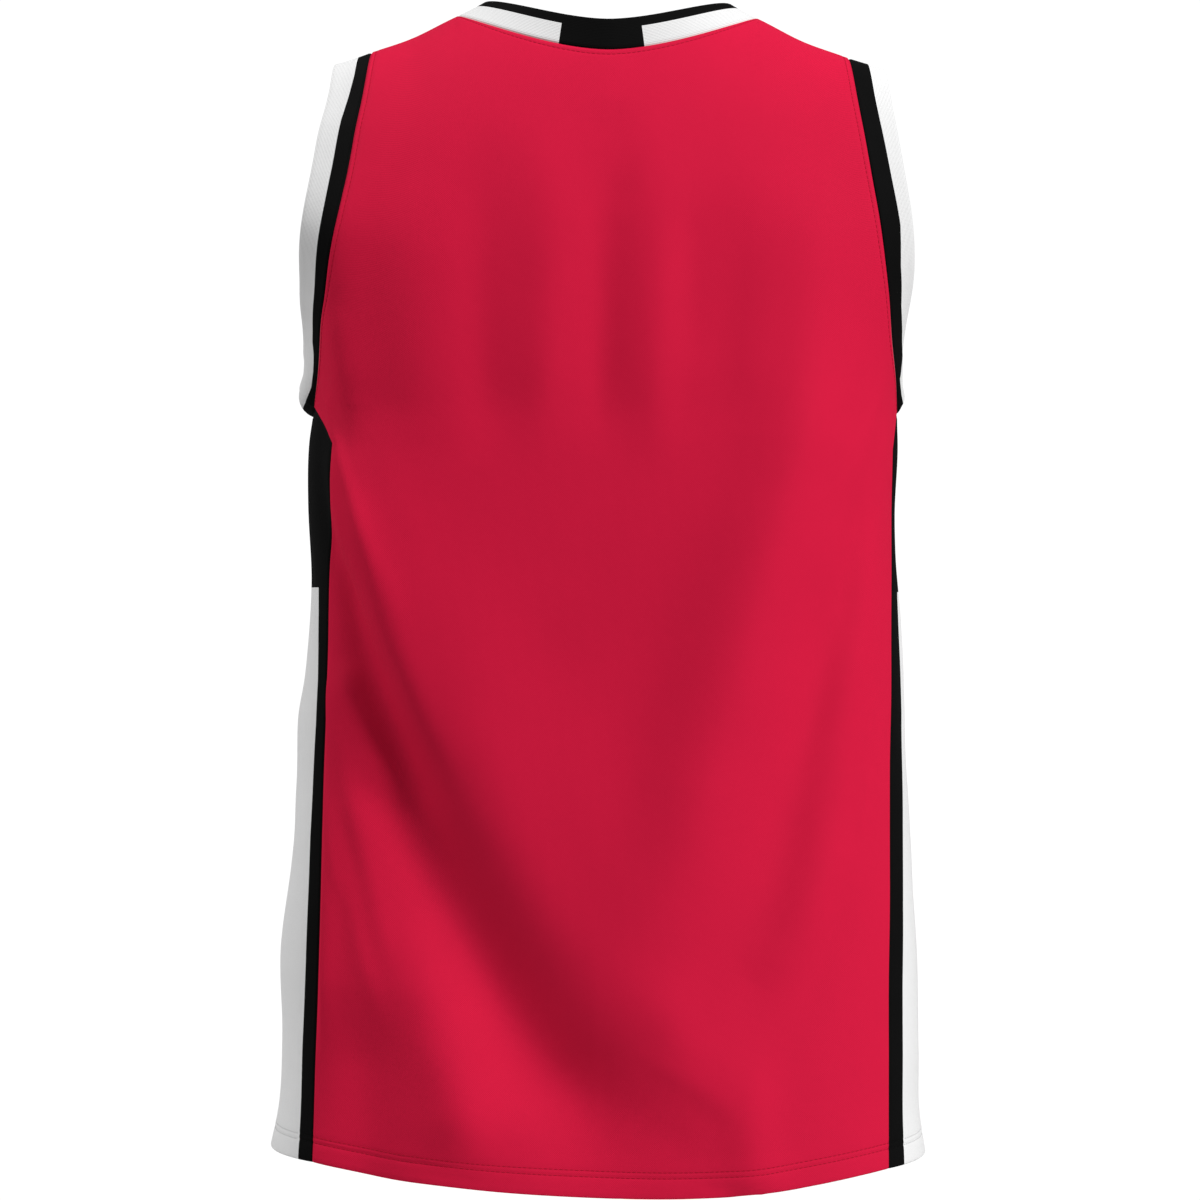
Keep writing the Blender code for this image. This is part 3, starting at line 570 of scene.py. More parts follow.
def panel_rises():
    """Rises of a panel's rows: close at the hem's fold and stitches, and at the shoulder seam."""
    tall = ARMPIT - HEM_SIDE
    beside = [line + step for line in HEM_LINES for step in BESIDE_LINE]
    hem_rows = np.array([*HEM_ROWS, *beside, HEM_DEPTH, HEM_DEPTH + HEM_STEP])
    below = np.concatenate([hem_rows / tall, np.linspace(hem_rows[-1] / tall, 1, ROWS_BELOW + 1)[1:]])
    point = rise_at(POINT_OUT, np.linspace(ARMPIT, CORNER, POINT_ROWS + 1)[1:])
    first = (point[-1] - 1) ** (1 / ROW_CROWDING)
    last_lines = np.array(EDGE_LINES[::-1]) / (CHEST_DEEP * math.pi / 2)
    final = (1 - last_lines[0]) ** (1 / ROW_CROWDING)
    above = 1 + np.linspace(first, final, ROWS_ABOVE + 1)[1:] ** ROW_CROWDING
    return np.concatenate([below, point, above, 2 - last_lines[1:], [2]])


def seam_shares(count, length, both=False):
    """For each row's length, even shares from 0 to 1, with extra lines along the seam at its end or both."""
    lines = np.array(EDGE_LINES) / length[:, None]
    start = lines[:, -1:] if both else 0 * lines[:, -1:]
    even = start + (1 - lines[:, -1:] - start) * np.linspace(0, 1, count + 1)
    first = np.hstack([0 * start, lines[:, :-1]]) if both else lines[:, :0]
    return np.hstack([first, even, 1 - lines[:, -2::-1], 1 + 0 * start])


def panel_grid(side, rises):
    """Distances from the middle and rises of a panel's points, row by row, from the wearer's right."""
    even = np.arange(NECK_COLUMNS + 1) / NECK_COLUMNS
    round_the_neck = np.sin(even * math.pi / 2)
    halves = []
    for hand in (-1, 1):
        edge = edge_at(rises, hand, side)
        near_top = smooth(rises - 1)[:, None]
        inner = hand * NECK_HALF * (even + (round_the_neck - even) * near_top)
        height = panel_height(edge, rises, side)
        neck_turn = turn_at(np.full(rises.shape, hand * NECK_HALF), height)
        edge_turns = turn_at(edge, height)
        length = (girth_at(edge_turns) - girth_at(neck_turn)) * handed(RINGS, height, hand) / CHEST_WIDE
        share = seam_shares(SHOULDER_COLUMNS, length)[:, 1:]
        turns = neck_turn[:, None] + (edge_turns - neck_turn)[:, None] * share
        wide = handed(RINGS, height, hand)[:, None]
        outer = hand * wide * np.cos(turns) ** (2 / ROUNDNESS)
        outer[:, -1] = edge
        top = rise_at(hand * NECK_HALF * round_the_neck, neck_height(NECK_HALF * round_the_neck, side))
        top[-1] = 2
        climb = np.clip(rises - 1, 0, 1)[:, None]
        inner_rise = np.minimum(rises, 1)[:, None] + climb * (top - 1)
        outer_rise = np.repeat(rises[:, None], share.shape[1], axis=1)
        halves.append((np.hstack([inner, outer]), np.hstack([inner_rise, outer_rise])))
    (right_x, right_rise), (left_x, left_rise) = halves
    x = np.hstack([right_x[:, :0:-1], left_x])
    rise = np.hstack([right_rise[:, :0:-1], left_rise])
    return x, rise


def edge_turn(hand, side, height):
    return side * turn_at(hand * seam_out(height, hand, side), height)


def side_grid(hand, rises):
    """Turns and heights of a side panel's points, row by row, from the front seam to the back seam."""
    low = rises[rises <= 1]
    front, back = (panel_height(edge_at(low, hand, side), low, side) for side in (-1, 1))
    steps = np.arange(1, POINT_ROWS + 1) / POINT_ROWS
    level = ARMPIT + (CORNER - ARMPIT) * steps
    front, back = np.concatenate([front, level]), np.concatenate([back, level])
    front_turn, back_turn = edge_turn(hand, -1, front), edge_turn(hand, 1, back)
    share = seam_shares(SIDE_COLUMNS, girth_at(front_turn) - girth_at(back_turn), both=True)
    lift = np.concatenate([SIDE_RISE * (1 - low) ** 2, -UNDERARM_DIP[hand] * steps])
    turn = front_turn[:, None] + (back_turn - front_turn)[:, None] * share
    height = front[:, None] + (back - front)[:, None] * share + lift[:, None] * np.sin(share * math.pi)
    return turn, height


# ================= walls =================


def distances(points, axis):
    """Distances along a grid's rows (axis 1) or columns (axis 0) from its first line."""
    steps = np.linalg.norm(np.diff(points, axis=axis), axis=-1)
    start = np.zeros_like(np.take(steps, [0], axis=axis))
    return np.concatenate([start, np.cumsum(steps, axis=axis)], axis=axis)


def from_the_end(run, axis):
    return np.take(run, [-1], axis=axis) - run


def seam_shape(away):
    """How far the cloth sinks at a distance from a seam, and how thick it is there with its turnings."""
    sink = SEAM_SINK * (1 - smooth(away / SEAM_REACH))
    thick = PANEL_CLOTH + (SEAM_CLOTH - PANEL_CLOTH) * (1 - smooth((away - SEAM_TURNING) / TURNING_END))
    return sink, thick


def line_sink(away, deep, reach):
    return deep * np.exp(-((away / reach) ** 2))


def nose(edge, before, facing, thick):
    """Rows that round off an edge, from the outer face to the inner one."""
    out = edge - before
    out /= np.linalg.norm(out, axis=-1, keepdims=True)
    half = thick / 2
    middle = edge - facing * half
    angles = np.radians(NOSE_ANGLES)
    return np.array([middle + half * (math.sin(a) * facing + math.cos(a) * out) for a in angles])


def panel_wall(outer, facing, thick, uv):
    """Points, faces and uv of a closed wall: outer and inner faces, flat rims at the seams, a round hem."""
    inner = outer - facing * thick[..., None]
    round_hem = nose(outer[0], outer[1], facing[0], HEM_CLOTH)[::-1]
    loop = np.concatenate([round_hem, outer, inner[::-1]])
    turned = np.concatenate([np.repeat(uv[:1], len(round_hem), axis=0), uv, uv[::-1]])
    rows, cols = outer.shape[:2]
    index = np.arange(loop.shape[0] * cols).reshape(-1, cols)
    a, b = index[:, :-1], index[:, 1:]
    c, d = np.roll(a, -1, axis=0), np.roll(b, -1, axis=0)
    quads = [np.stack([a, b, d, c], axis=-1).reshape(-1, 4)]
    first, last = index[: len(round_hem)], index[len(round_hem) :]
    over, under = last[:rows], last[rows:][::-1]
    for edge, step in ((0, 1), (-1, -1)):
        o, i, n = over[:, edge], under[:, edge], first[:, edge]
        cap = [np.stack([o[:-1], o[1:], i[1:], i[:-1]], axis=-1)]
        cap.append([(i[0], n[0], n[3], o[0]), (n[0], n[1], n[2], n[3])])
        quads += [np.array(part)[:, ::step] for part in cap]
    return loop.reshape(-1, 3), np.concatenate(quads), turned.reshape(-1, 2)


def band_wall(outer, facing, thick, uv):
    """The same for a closed band, whose rows run across its width and whose columns run all round it."""
    round_edge = nose(outer[-1], outer[-2], facing[-1], thick)
    loop = np.concatenate([outer, round_edge, (outer - facing * thick)[::-1]])
    turned = np.concatenate([uv, np.repeat(uv[-1:], len(round_edge), axis=0), uv[::-1]])
    index = np.arange(loop.shape[0] * loop.shape[1]).reshape(loop.shape[:2])
    a, b = index, np.roll(index, -1, axis=1)
    c, d = np.roll(a, -1, axis=0), np.roll(b, -1, axis=0)
    quads = np.stack([a, b, d, c], axis=-1).reshape(-1, 4)
    return loop.reshape(-1, 3), quads, turned.reshape(-1, 2)


def make_piece(name, points, quads, uv, material):
    """A smooth mesh object with its faces outward and its uv in metres of cloth."""
    mesh = bpy.data.meshes.new(name)
    mesh.from_pydata(points.tolist(), [], quads.tolist())
    a, b, c, d = (points[quads[:, i]] for i in range(4))
    volume = (np.cross(b - a, c - a) * a).sum() + (np.cross(c - a, d - a) * a).sum()
    if volume < 0:
        mesh.flip_normals()
    corners = np.zeros(len(mesh.loops), dtype=np.int32)
    mesh.loops.foreach_get("vertex_index", corners)
    layer = mesh.uv_layers.new(name="cloth")
    layer.uv.foreach_set("vector", uv[corners].astype(np.float32).ravel())
    mesh.shade_smooth()
    mesh.set_sharp_from_angle(angle=math.radians(SHARP_ANGLE))
    mesh.materials.append(material)
    mesh.validate()
    piece = bpy.data.objects.new(name, mesh)
    bpy.context.scene.collection.objects.link(piece)
    return piece


# ================= the pieces =================


def grain(outer, rows_from, middle):
    """UV in metres of cloth: across the grain from the middle column, and up it from the armpits."""
    flat = outer * (1, 1, 0)
    across = distances(flat, 1)
    across -= across[:, middle : middle + 1]
    up = distances(outer, 0)
    return np.stack([across, up - up[rows_from : rows_from + 1]], axis=-1)


def sewn(outer, facing, seams, extra, rises):
    """Draws the cloth in along seams and stitches, and says how thick it is."""
    sink, thick = seam_shape(seams)
    height = (rises * (ARMPIT - HEM_SIDE))[:, None]
    thick = np.where((height <= HEM_DEPTH) & (thick < HEM_CLOTH), HEM_CLOTH, thick)
    for line, deep in zip(HEM_LINES, HEM_LINE_SINKS, strict=True):
        sink = sink + line_sink(height - line, deep, HEM_LINE_REACH)
    sink = sink + extra
    return outer - facing * sink[..., None], thick - sink


def seamed(outer, facing, x=None):
    """A panel's sunk points, facing, thickness and uv, and how far each point is from its seams. With its
    distances from the middle given, it also has topstitching along its armholes and neck."""
    rises = panel_rises()[: len(outer)]
    along, up = distances(outer, 1), distances(outer, 0)
    sides, top = np.minimum(along, from_the_end(along, 1)), from_the_end(up, 0)
    topstitch = 0
    if x is not None:
        by_armhole = smooth((outer[..., 2] - CORNER) / TOPSTITCH_FADE)
        for away, share in ((sides, by_armhole), (top, np.abs(x) <= NECK_HALF)):
            topstitch = topstitch + line_sink(away - TOPSTITCH_IN, TOPSTITCH_SINK, TOPSTITCH_REACH) * share
    sunk, thick = sewn(outer, facing, np.minimum(sides, top), topstitch, rises)
    uv = grain(outer, int((rises <= 1).sum()) - 1, outer.shape[1] // 2)
    shape = {"outer": sunk, "facing": facing, "thick": thick, "form": outer}
    return {**shape, "uv": uv, "sides": sides, "top": top}


def panel(side):
    """The back or the front."""
    x, rise = panel_grid(side, panel_rises())
    return seamed(*cloth(lambda a, b: panel_form(side, a, b), x, rise, side), x)


def flank(hand):
    turn, height = side_grid(hand, panel_rises())
    return seamed(*cloth(lambda a, b: flank_form(hand, a, b), turn, height, -hand))


def armhole_seam(hand, back, front, side):
    """Points and normals once round an armhole: down the back, under the arm, up the front."""
    edge = -1 if hand > 0 else 0
    start = int((panel_rises() <= 1).sum()) + POINT_ROWS - 1
    under = slice(-2, 0, -1)
    points = [back["form"][start:, edge][::-1], side["form"][-1, under], front["form"][start:-1, edge]]
    facing = [back["facing"][start:, edge][::-1], side["facing"][-1, under], front["facing"][start:-1, edge]]
    return np.concatenate(points), np.concatenate(facing)


def neck_seam(back, front):
    """The same once round the neck: across the back from the right, then the front from the left."""
    cols = back["form"].shape[1]
    outside = (cols - 2 * NECK_COLUMNS - 1) // 2
    keep = slice(outside, cols - outside)
    parts = []
    for what in ("form", "facing"):
        behind, ahead = back[what][-1, keep], front[what][-1, keep]
        parts.append(np.concatenate([behind, ahead[-2:0:-1]]))
    return parts


def even_out(vectors, times):
    for _ in range(times):
        vectors = (np.roll(vectors, 1, axis=0) + 2 * vectors + np.roll(vectors, -1, axis=0)) / 4
    return vectors / np.linalg.norm(vectors, axis=-1, keepdims=True)


def band(seam, seam_facing, width, roots, edges, hand, calm):
    """Outer points, normals and uv of a band that leaves a seam along the cloth and leans as it goes."""
    tangent = np.roll(seam, -1, axis=0) - np.roll(seam, 1, axis=0)
    out = np.cross(tangent, seam_facing) * hand
    out = even_out(out / np.linalg.norm(out, axis=-1, keepdims=True), calm)
    facing = even_out(seam_facing, calm)
    facing -= (facing * out).sum(axis=-1, keepdims=True) * out
    facing /= np.linalg.norm(facing, axis=-1, keepdims=True)
    across = np.array([*BAND_LINES[:-1], *np.linspace(BAND_LINES[-1], width - RIB_CLOTH / 2, BAND_ROWS)])
    place = seam
    points, directions = [place], [facing]
    for last, now in zip(across, across[1:], strict=False):
        lean = np.radians(roots + (edges - roots) * (last + now) / 2 / width)[:, None]
        place = place + (np.cos(lean) * out + np.sin(lean) * facing) * (now - last)
        points.append(place)
        directions.append(np.cos(lean) * facing - np.sin(lean) * out)
    sink = SEAM_SINK * (1 - smooth(across / SEAM_REACH))
    outer = np.array(points) - seam_facing * sink[:, None, None]
    steps = np.linalg.norm(np.roll(seam, -1, axis=0) - seam, axis=-1)
    round_it = np.concatenate([[0], np.cumsum(steps)[:-1]])
    uv = np.stack(np.broadcast_arrays(round_it[None, :], across[:, None]), axis=-1)
    return {"outer": outer, "facing": np.array(directions), "uv": uv, "round": float(steps.sum())}


def armhole_band(hand, back, front, side):
    seam, facing = armhole_seam(hand, back, front, side)
    hands = np.full(len(seam), hand)
    roots = handed(ARMHOLE_LEANS, seam[:, 2], hands, "_root")
    edges = handed(ARMHOLE_LEANS, seam[:, 2], hands, "_edge")
    return band(seam, facing, ARMHOLE_BAND, roots, edges, hand, ARMHOLE_CALM)


def neck_band(back, front):
    seam, facing = neck_seam(back, front)
    roots = read(NECK_LEANS, "left_root", seam[:, 2])
    edges = read(NECK_LEANS, "left_edge", seam[:, 2])
    return band(seam, facing, NECK_BAND, roots, edges, 1, NECK_CALM)


# ================= finishes =================


def join(tree, value, socket):
    """Joins a socket to another, or sets it to a value."""
    if isinstance(value, bpy.types.NodeSocket):
        tree.links.new(value, socket)
    elif value is not None:
        socket.default_value = value


def node(tree, kind, *inputs, **settings):
    """A node with its settings, and its first inputs joined or set."""
    made = tree.nodes.new(kind)
    for key, value in settings.items():
        setattr(made, key, value)
    for place, value in enumerate(inputs):
        join(tree, value, made.inputs[place])
    return made


def fill(tree, made, values):
    """Joins or sets a node's inputs by their names."""
    for name, value in values.items():
        join(tree, value, made.inputs[name])
    return made.outputs


def calc(tree, operation, *inputs):
    return node(tree, "ShaderNodeMath", *inputs, operation=operation).outputs[0]


def ramp(tree, value, low, high):
    """0 at low and 1 at high, soft in between. Low may be the greater of the two."""
    made = node(tree, "ShaderNodeMapRange", value, low, high, 0.0, 1.0, interpolation_type="SMOOTHSTEP")
    return made.outputs[0]


def blend_colours(tree, share, first, second):
    made = node(tree, "ShaderNodeMix", share, data_type="RGBA")
    for socket, colour in ((made.inputs[6], first), (made.inputs[7], second)):
        join(tree, (*colour, 1) if isinstance(colour, tuple) else colour, socket)
    return made.outputs[2]


def cloth_uv(tree):
    """Metres along the cloth and up or across it."""
    uv = node(tree, "ShaderNodeUVMap", uv_map="cloth").outputs[0]
    return node(tree, "ShaderNodeSeparateXYZ", uv).outputs[:2]


def place_in_space(tree):
    return node(tree, "ShaderNodeTexCoord").outputs["Object"]


def space_axes(tree):
    return node(tree, "ShaderNodeSeparateXYZ", place_in_space(tree)).outputs


def from_side(tree):
    """Distance from the nearest side seam or armhole."""
    return node(tree, "ShaderNodeAttribute", attribute_name="from_side").outputs["Fac"]


def wave(tree, run, pitch):
    return calc(tree, "COSINE", calc(tree, "MULTIPLY", run, 2 * math.pi / pitch))


def mottle(tree, scale, detail):
    noise = node(tree, "ShaderNodeTexNoise", place_in_space(tree))
    return fill(tree, noise, {"Scale": scale, "Detail": detail})["Fac"]


def mesh_knit(tree):
    """Height of the knit from 0 to 1, and where its pin holes are."""
    u, v = cloth_uv(tree)
    lattice = calc(tree, "MULTIPLY", wave(tree, u, KNIT_PITCH), wave(tree, v, KNIT_PITCH))
    holes = ramp(tree, lattice, HOLE_EDGE, HOLE_FULL)
    wales = calc(tree, "MULTIPLY_ADD", wave(tree, u, KNIT_PITCH / 2), WALE_RISE, 0.5)
    courses = calc(tree, "MULTIPLY_ADD", wave(tree, v, KNIT_PITCH / 2), COURSE_RISE, wales)
    return calc(tree, "MULTIPLY_ADD", holes, HOLE_DEPTH, courses), holes


def rib_knit(tree):
    """Height of fine ribs that run along a band, with the courses across them."""
    u, v = cloth_uv(tree)
    ribs = calc(tree, "MULTIPLY_ADD", wave(tree, v, RIB_PITCH), RIB_RISE, 0.5)
    return calc(tree, "MULTIPLY_ADD", wave(tree, u, COURSE_PITCH), RIB_COURSE_RISE, ribs)


def new_finish(name):
    material = bpy.data.materials.new(name)
    material.use_nodes = True
    return material, material.node_tree


def set_cloth(material, colour, height, bump, roughness):
    """Joins a cloth's colour and relief to its shader."""
    tree = material.node_tree
    relief = node(tree, "ShaderNodeBump")
    normal = fill(tree, relief, {"Strength": BUMP_STRENGTH, "Distance": bump, "Height": height})[0]
    smoothest = roughness - ROUGH_SPREAD / 2
    rough = calc(tree, "MULTIPLY_ADD", mottle(tree, *ROUGH_MOTTLE), ROUGH_SPREAD, smoothest)
    looks = {"Base Color": colour, "Normal": normal, "Roughness": rough, "Specular IOR Level": SOFT_GLOSS}
    fill(tree, tree.nodes["Principled BSDF"], looks)
    return material


def dyed(tree, colour, painted_shade, spread):
    """A colour with the slight unevenness of dyed cloth, and painted shade blended in by the given mask: the
    knit's holes or the rib's grooves.
    """
    darker = tuple(c * (1 - spread) for c in colour)
    mixed = blend_colours(tree, mottle(tree, *DYE_MOTTLE), darker, colour)
    # painted shade: darker where the mask marks holes or grooves
    return blend_colours(tree, painted_shade, mixed, tuple(c * PAINTED_HOLLOW_SHADE for c in colour))


def black_on_white(tree, black_at, painted_shade):
    # white and black cloth, each with painted shade in its holes or grooves
    white, black = dyed(tree, WHITE, painted_shade, WHITE_SPREAD), dyed(tree, BLACK, painted_shade, BLACK_SPREAD)
    return blend_colours(tree, black_at, white, black)


def stepped(tree, value, steps):
    """A number read from rows of (value, number), straight between them."""
    low, high = steps[0][0], steps[-1][0]
    top = max(number for _, number in steps)
    made = tree.nodes.new("ShaderNodeValToRGB")
    stops = made.color_ramp.elements
    for place, _ in steps[1:-1]:
        stops.new((place - low) / (high - low))
    for stop, (_, number) in zip(stops, steps, strict=True):
        stop.color = (number / top,) * 3 + (1,)
    join(tree, node(tree, "ShaderNodeMapRange", value, low, high, 0.0, 1.0).outputs[0], made.inputs[0])
    return calc(tree, "MULTIPLY", made.outputs[0], top)


def panel_finish(name):
    """Red mesh knit with painted shade in its pin holes, whose pale edge shows as a hairline along the lower
    armhole.
    """
    material, tree = new_finish(name)
    height, holes = mesh_knit(tree)
    up = space_axes(tree)[2]
    shows = ramp(tree, from_side(tree), EDGE_SHOWS + EDGE_BLUR, EDGE_SHOWS - EDGE_BLUR)
    for low, high in ((EDGE_HIGH, EDGE_LOW), (CORNER - EDGE_START, CORNER)):
        shows = calc(tree, "MULTIPLY", shows, ramp(tree, up, low, high))
    colour = blend_colours(tree, shows, dyed(tree, RED, holes, RED_SPREAD), GREY_THREAD)
    return set_cloth(material, colour, height, KNIT_BUMP, KNIT_ROUGH)


def side_finish(name, stripe_widths):
    """White mesh knit with painted shade in its pin holes, black at the top and in a stripe beside each seam.
    """
    material, tree = new_finish(name)
    height, holes = mesh_knit(tree)
    up = space_axes(tree)[2]
    stripe = calc(tree, "LESS_THAN", from_side(tree), stepped(tree, up, stripe_widths))
    black_at = calc(tree, "MAXIMUM", calc(tree, "GREATER_THAN", up, BLACK_ABOVE), stripe)
    return set_cloth(material, black_on_white(tree, black_at, holes), height, KNIT_BUMP, KNIT_ROUGH)


def rib_finish(name, black_at, *where):
    """Fine rib knit, white and black, with painted shade in its grooves."""
    material, tree = new_finish(name)
    height = rib_knit(tree)
    # the rib's grooves, where the colour gets painted shade
    groove = ramp(tree, height, GROOVE_TOP, GROOVE_FULL)
    colour = black_on_white(tree, black_at(tree, *where), groove)
    return set_cloth(material, colour, height, RIB_BUMP, RIB_ROUGH)


def armhole_black(tree, widths):
    """Beside the panel, as wide as the table says at each height."""
    return calc(tree, "LESS_THAN", cloth_uv(tree)[1], stepped(tree, space_axes(tree)[2], widths))


def neck_black(tree):
    """Along the free edge, and all across the band at the middle of the back."""
    across, (x, y, _) = cloth_uv(tree)[1], space_axes(tree)
    edge = calc(tree, "GREATER_THAN", across, NECK_BAND - NECK_STRIPE)
    left = calc(tree, "MULTIPLY_ADD", across, -BLOCK_SLANT, BLOCK_LEFT)
    right = calc(tree, "MULTIPLY_ADD", across, BLOCK_SLANT, BLOCK_RIGHT)
    block = calc(tree, "MULTIPLY", calc(tree, "LESS_THAN", x, left), calc(tree, "GREATER_THAN", x, right))
    block = calc(tree, "MULTIPLY", block, calc(tree, "GREATER_THAN", y, 0.0))
    return calc(tree, "MAXIMUM", edge, block)


def thread_finish(name, colour):
    """Spun sewing thread: fine twisted plies, with painted shade in the grooves between them."""
    material, tree = new_finish(name)
    bands = {"wave_type": "BANDS", "bands_direction": "DIAGONAL"}
    plies = node(tree, "ShaderNodeTexWave", place_in_space(tree), **bands)
    twist = fill(tree, plies, {"Scale": TWIST_SCALE})["Fac"]
    # painted shade in the grooves between the plies
    mixed = blend_colours(tree, twist, tuple(c * TWIST_PAINTED_SHADE for c in colour), colour)
    return set_cloth(material, mixed, twist, THREAD_BUMP, THREAD_ROUGH)


# ================= sewing =================


def row_at(line):
    """The row of a panel at a height above its hem's edge."""
    return int(np.argmin(np.abs(panel_rises() * (ARMPIT - HEM_SIDE) - line)))


def topstitch_line(grids, away, runs):
    """Points and facings of a line of topstitching, one on each run of points that starts at a seam."""
    mixed = [
        [
            np.interp(TOPSTITCH_IN, grids[away][run], grids[key][run][:, k])
            for key in ("outer", "facing")
            for k in range(3)
        ]
        for run in runs
    ]
    return np.split(np.array(mixed), 2, axis=1)


def even_stitches(points, facing):
    """Middles, runs and facings of stitches of equal pitch along a line."""
    steps = np.linalg.norm(np.diff(points, axis=0), axis=-1)
    run = np.concatenate([[0], np.cumsum(steps)])
    at = np.arange(STITCH_PITCH / 2, run[-1], STITCH_PITCH)

    def along(values, where):
        return np.stack([np.interp(where, run, values[:, k]) for k in range(3)], axis=-1)

    tangent = along(points, at + STITCH_PITCH / 4) - along(points, at - STITCH_PITCH / 4)
    return along(points, at), tangent, along(facing, at)


def stitch_tree():
    """Geometry nodes: a short swelling thread on every point, laid along its run and facing out."""
    tree = bpy.data.node_groups.new("stitches", "GeometryNodeTree")
    face = tree.interface
    face.new_socket("Points", in_out="INPUT", socket_type="NodeSocketGeometry")
    for name in ("Length", "Width"):
        face.new_socket(name, in_out="INPUT", socket_type="NodeSocketFloat")
    face.new_socket("Thread", in_out="INPUT", socket_type="NodeSocketMaterial")
    face.new_socket("Stitches", in_out="OUTPUT", socket_type="NodeSocketGeometry")
    start, end = tree.nodes.new("NodeGroupInput"), tree.nodes.new("NodeGroupOutput")
    ball = node(tree, "GeometryNodeMeshUVSphere", STITCH_SIDES, STITCH_RINGS, 0.5)
    wide = start.outputs["Width"]
    size = node(tree, "ShaderNodeCombineXYZ", start.outputs["Length"], wide, wide)
    laid = node(tree, "GeometryNodeTransform", ball.outputs[0])
    fill(tree, laid, {"Rotation": (0, math.pi / 2, 0)})
    sized = node(tree, "GeometryNodeTransform", laid.outputs[0])
    fill(tree, sized, {"Scale": size.outputs[0]})
    run, out = (
        node(tree, "GeometryNodeInputNamedAttribute", name, data_type="FLOAT_VECTOR").outputs[0]
        for name in ("run", "out")
    )
    align = "FunctionNodeAlignRotationToVector"
    along = node(tree, align, None, None, run, axis="X").outputs[0]
    turned = node(tree, align, along, None, out, axis="Z", pivot_axis="X").outputs[0]
    placed = node(tree, "GeometryNodeInstanceOnPoints", start.outputs["Points"])
    fill(tree, placed, {"Instance": sized.outputs[0], "Rotation": turned})
    real = node(tree, "GeometryNodeRealizeInstances", placed.outputs[0])
    soft = node(tree, "GeometryNodeSetShadeSmooth", real.outputs[0])
    dressed = node(tree, "GeometryNodeSetMaterial", soft.outputs[0])
    fill(tree, dressed, {"Material": start.outputs["Thread"]})
    join(tree, dressed.outputs[0], end.inputs[0])
    return tree


def sew(name, lines, thread, tree):
    """Rows of stitches along lines of (points, facings), as one plain mesh."""
    laid = [even_stitches(points, facing) for points, facing in lines]
    middles, runs, outs = (np.concatenate([part[k] for part in laid]) for k in range(3))
    outs /= np.linalg.norm(outs, axis=-1, keepdims=True)
    mesh = bpy.data.meshes.new(name)
    mesh.from_pydata((middles + outs * STITCH_WIDTH * STITCH_PROUD).tolist(), [], [])
    for key, vectors in (("run", runs), ("out", outs)):
        layer = mesh.attributes.new(key, "FLOAT_VECTOR", "POINT")
        layer.data.foreach_set("vector", vectors.astype(np.float32).ravel())
    carrier = bpy.data.objects.new(name + "_points", mesh)
    bpy.context.scene.collection.objects.link(carrier)
    grow = carrier.modifiers.new("stitches", "NODES")
    grow.node_group = tree
    values = {"Length": STITCH_LENGTH, "Width": STITCH_WIDTH, "Thread": thread}
    for item in tree.interface.items_tree:
        if item.name in values:
            grow[item.identifier] = values[item.name]
    bpy.context.view_layer.update()
    grown = bpy.data.meshes.new_from_object(carrier.evaluated_get(bpy.context.evaluated_depsgraph_get()))
    bpy.data.objects.remove(carrier)
    grown.name = name
    piece = bpy.data.objects.new(name, grown)
    bpy.context.scene.collection.objects.link(piece)
    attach(piece, "root")


# ================= the jersey =================


def declare(piece):
    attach(piece, "root")
    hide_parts(piece.name.removesuffix("_cloth"))


def dress(name, grids, material):
    """A panel's cloth, with each point's distance from the side seams on both of its faces."""
    points, quads, uv = panel_wall(*(grids[key] for key in ("outer", "facing", "thick", "uv")))
    piece = make_piece(name, points, quads, uv, material)
    sides = grids["sides"]
    rows = np.concatenate([np.repeat(sides[:1], len(NOSE_ANGLES), axis=0), sides, sides[::-1]])
    layer = piece.data.attributes.new("from_side", "FLOAT", "POINT")
    layer.data.foreach_set("value", rows.ravel().astype(np.float32))
    declare(piece)


def dress_band(name, grids, material):
    wall = band_wall(grids["outer"], grids["facing"], RIB_CLOTH, grids["uv"])
    declare(make_piece(name, *wall, material))


back, front = panel(1), panel(-1)
red_knit = panel_finish("red_mesh_knit")
dress("back_cloth", back, red_knit)
dress("front_cloth", front, red_knit)
hem_white, hem_black = [], []
for hand, word in ((1, "left"), (-1, "right")):
    side = flank(hand)
    side_knit = side_finish(f"side_mesh_knit_{word}", STRIPE_WIDTHS[hand])
    dress(f"side_{word}_cloth", side, side_knit)
    two_tone = rib_finish(f"armhole_rib_{word}", armhole_black, BLACK_WIDTHS[hand])
    rib = armhole_band(hand, back, front, side)
    dress_band(f"armhole_band_{word}_cloth", rib, two_tone)
    for row in map(row_at, HEM_LINES):
        points, facing = side["outer"][row], side["facing"][row]
        white = np.flatnonzero(side["sides"][row] > STRIPE_WIDTHS[hand][0][1])
        first, final = white[0], white[-1] + 1
        hem_white.append((points[first:final], facing[first:final]))
        hem_black += [(points[:first], facing[:first]), (points[final:], facing[final:])]
two_tone = rib_finish("neck_rib", neck_black)
dress_band("neck_band_cloth", neck_band(back, front), two_tone)

hem_red, edges = [], []
rows, cols = back["sides"].shape
beside_armholes = range(int((panel_rises() <= 1).sum()) + POINT_ROWS - 1, rows - SHOULDER_ROWS)
outside = (cols - 2 * NECK_COLUMNS - 1) // 2
halves = (slice(0, cols // 2), slice(None, (cols - 1) // 2, -1))  # from each edge inward
below_neck = [(slice(None, None, -1), col) for col in range(outside, cols - outside)]
for grids in (back, front):
    hem_red += [(grids["outer"][row], grids["facing"][row]) for row in map(row_at, HEM_LINES)]
    for half in halves:
        edges.append(topstitch_line(grids, "sides", [(row, half) for row in beside_armholes]))
    edges.append(topstitch_line(grids, "top", below_neck))
stitches = stitch_tree()
red_thread = thread_finish("red_thread", RED_THREAD)
white_thread = thread_finish("white_thread", WHITE_THREAD)
black_thread = thread_finish("black_thread", BLACK)
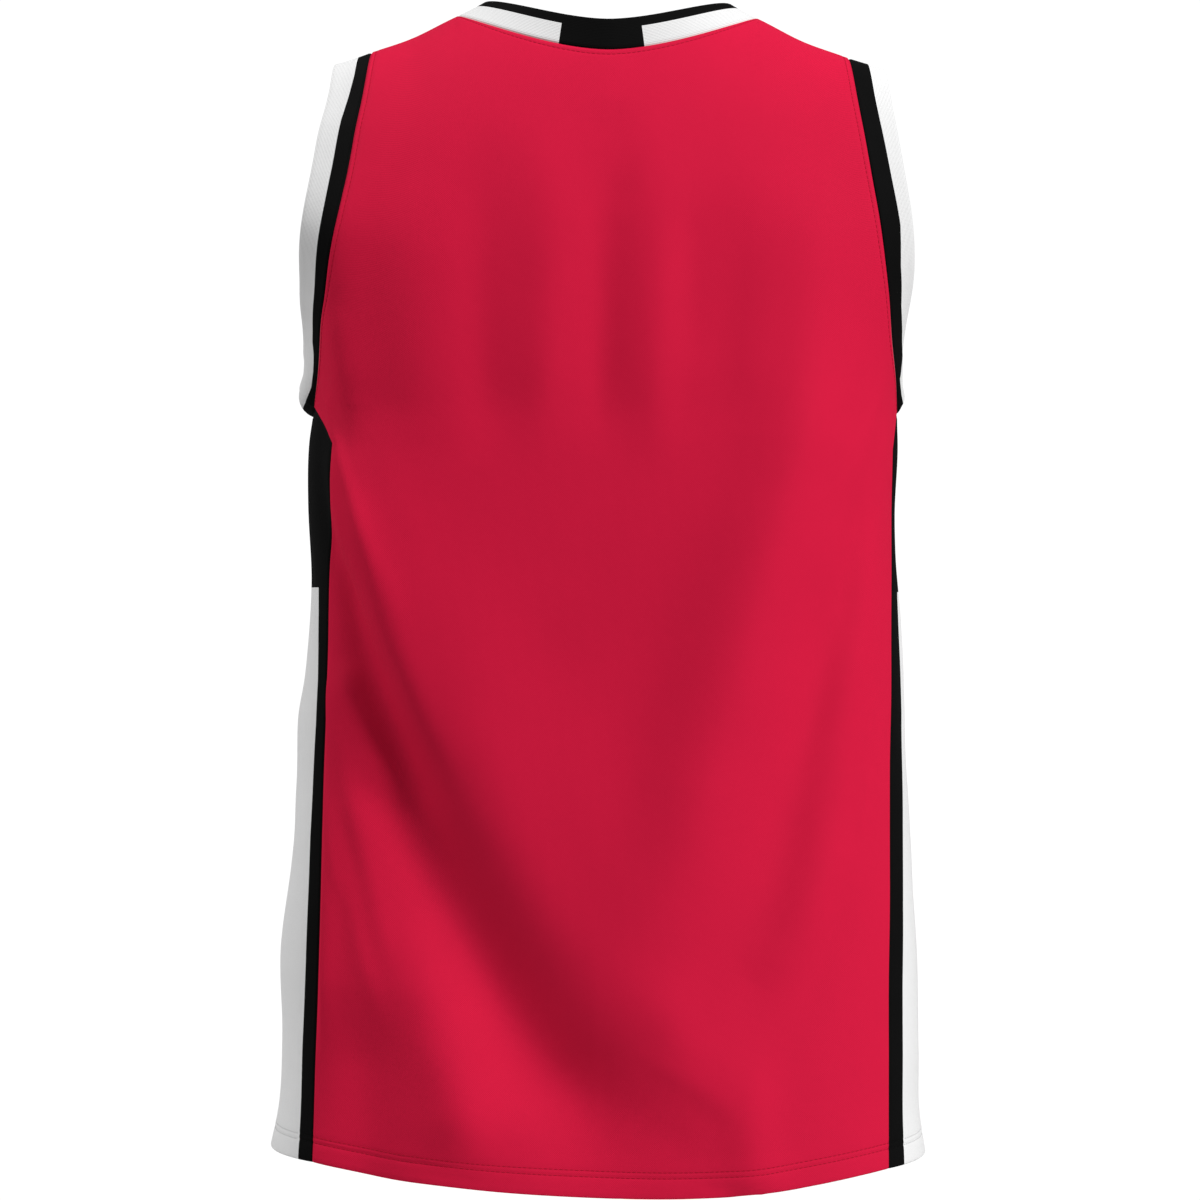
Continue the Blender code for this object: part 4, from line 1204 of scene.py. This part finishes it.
sew("hem_stitches_red", hem_red, red_thread, stitches)
sew("hem_stitches_white", hem_white, white_thread, stitches)
sew("hem_stitches_black", hem_black, black_thread, stitches)
sew("edge_stitches", edges, red_thread, stitches)

# ================= floor, light, camera =================

bpy.ops.mesh.primitive_circle_add(
    vertices=FLOOR_SIDES, radius=FLOOR_RADIUS, fill_type="NGON", location=(0, 0, FLOOR_HEIGHT)
)
floor = bpy.context.object
floor.name = "floor"
pale, tree = new_finish("pale_floor")
fill(tree, tree.nodes["Principled BSDF"], {"Base Color": (*FLOOR_PALE, 1), "Roughness": FLOOR_ROUGH})
floor.data.materials.append(pale)

for lamp in LAMPS:
    light = bpy.data.lights.new(lamp.name, "AREA")
    light.shape = "DISK"
    light.size = lamp.size
    light.energy = lamp.power
    thing = bpy.data.objects.new(lamp.name, light)
    thing.location = TARGET + Vector(lamp.direction).normalized() * LAMP_AWAY
    thing.rotation_euler = (TARGET - thing.location).to_track_quat("-Z", "Y").to_euler()
    bpy.context.scene.collection.objects.link(thing)

world = bpy.data.worlds.new("studio")
bpy.context.scene.world = world
world.use_nodes = True
tree = world.node_tree
tree.nodes.clear()
seen, lit = (
    node(tree, "ShaderNodeBackground", (*STUDIO_WHITE, 1), strength).outputs[0]
    for strength in (STUDIO_SEEN, STUDIO_LIT)
)
to_camera = node(tree, "ShaderNodeLightPath").outputs["Is Camera Ray"]
node(tree, "ShaderNodeOutputWorld", node(tree, "ShaderNodeMixShader", to_camera, lit, seen).outputs[0])

camera = bpy.data.cameras.new("camera")
camera.lens = CAMERA_LENS
camera.sensor_width = CAMERA_SENSOR
view = bpy.data.objects.new("camera", camera)
aim = Matrix.Rotation(math.pi, 4, "Z") @ Matrix.Rotation(math.pi / 2, 4, "X")
roll = Matrix.Rotation(math.radians(CAMERA_ROLL), 4, "Z")
view.matrix_world = Matrix.Translation(CAMERA_PLACE) @ aim @ roll
bpy.context.scene.collection.objects.link(view)
bpy.context.scene.camera = view
bpy.context.scene.view_settings.view_transform = "Standard"
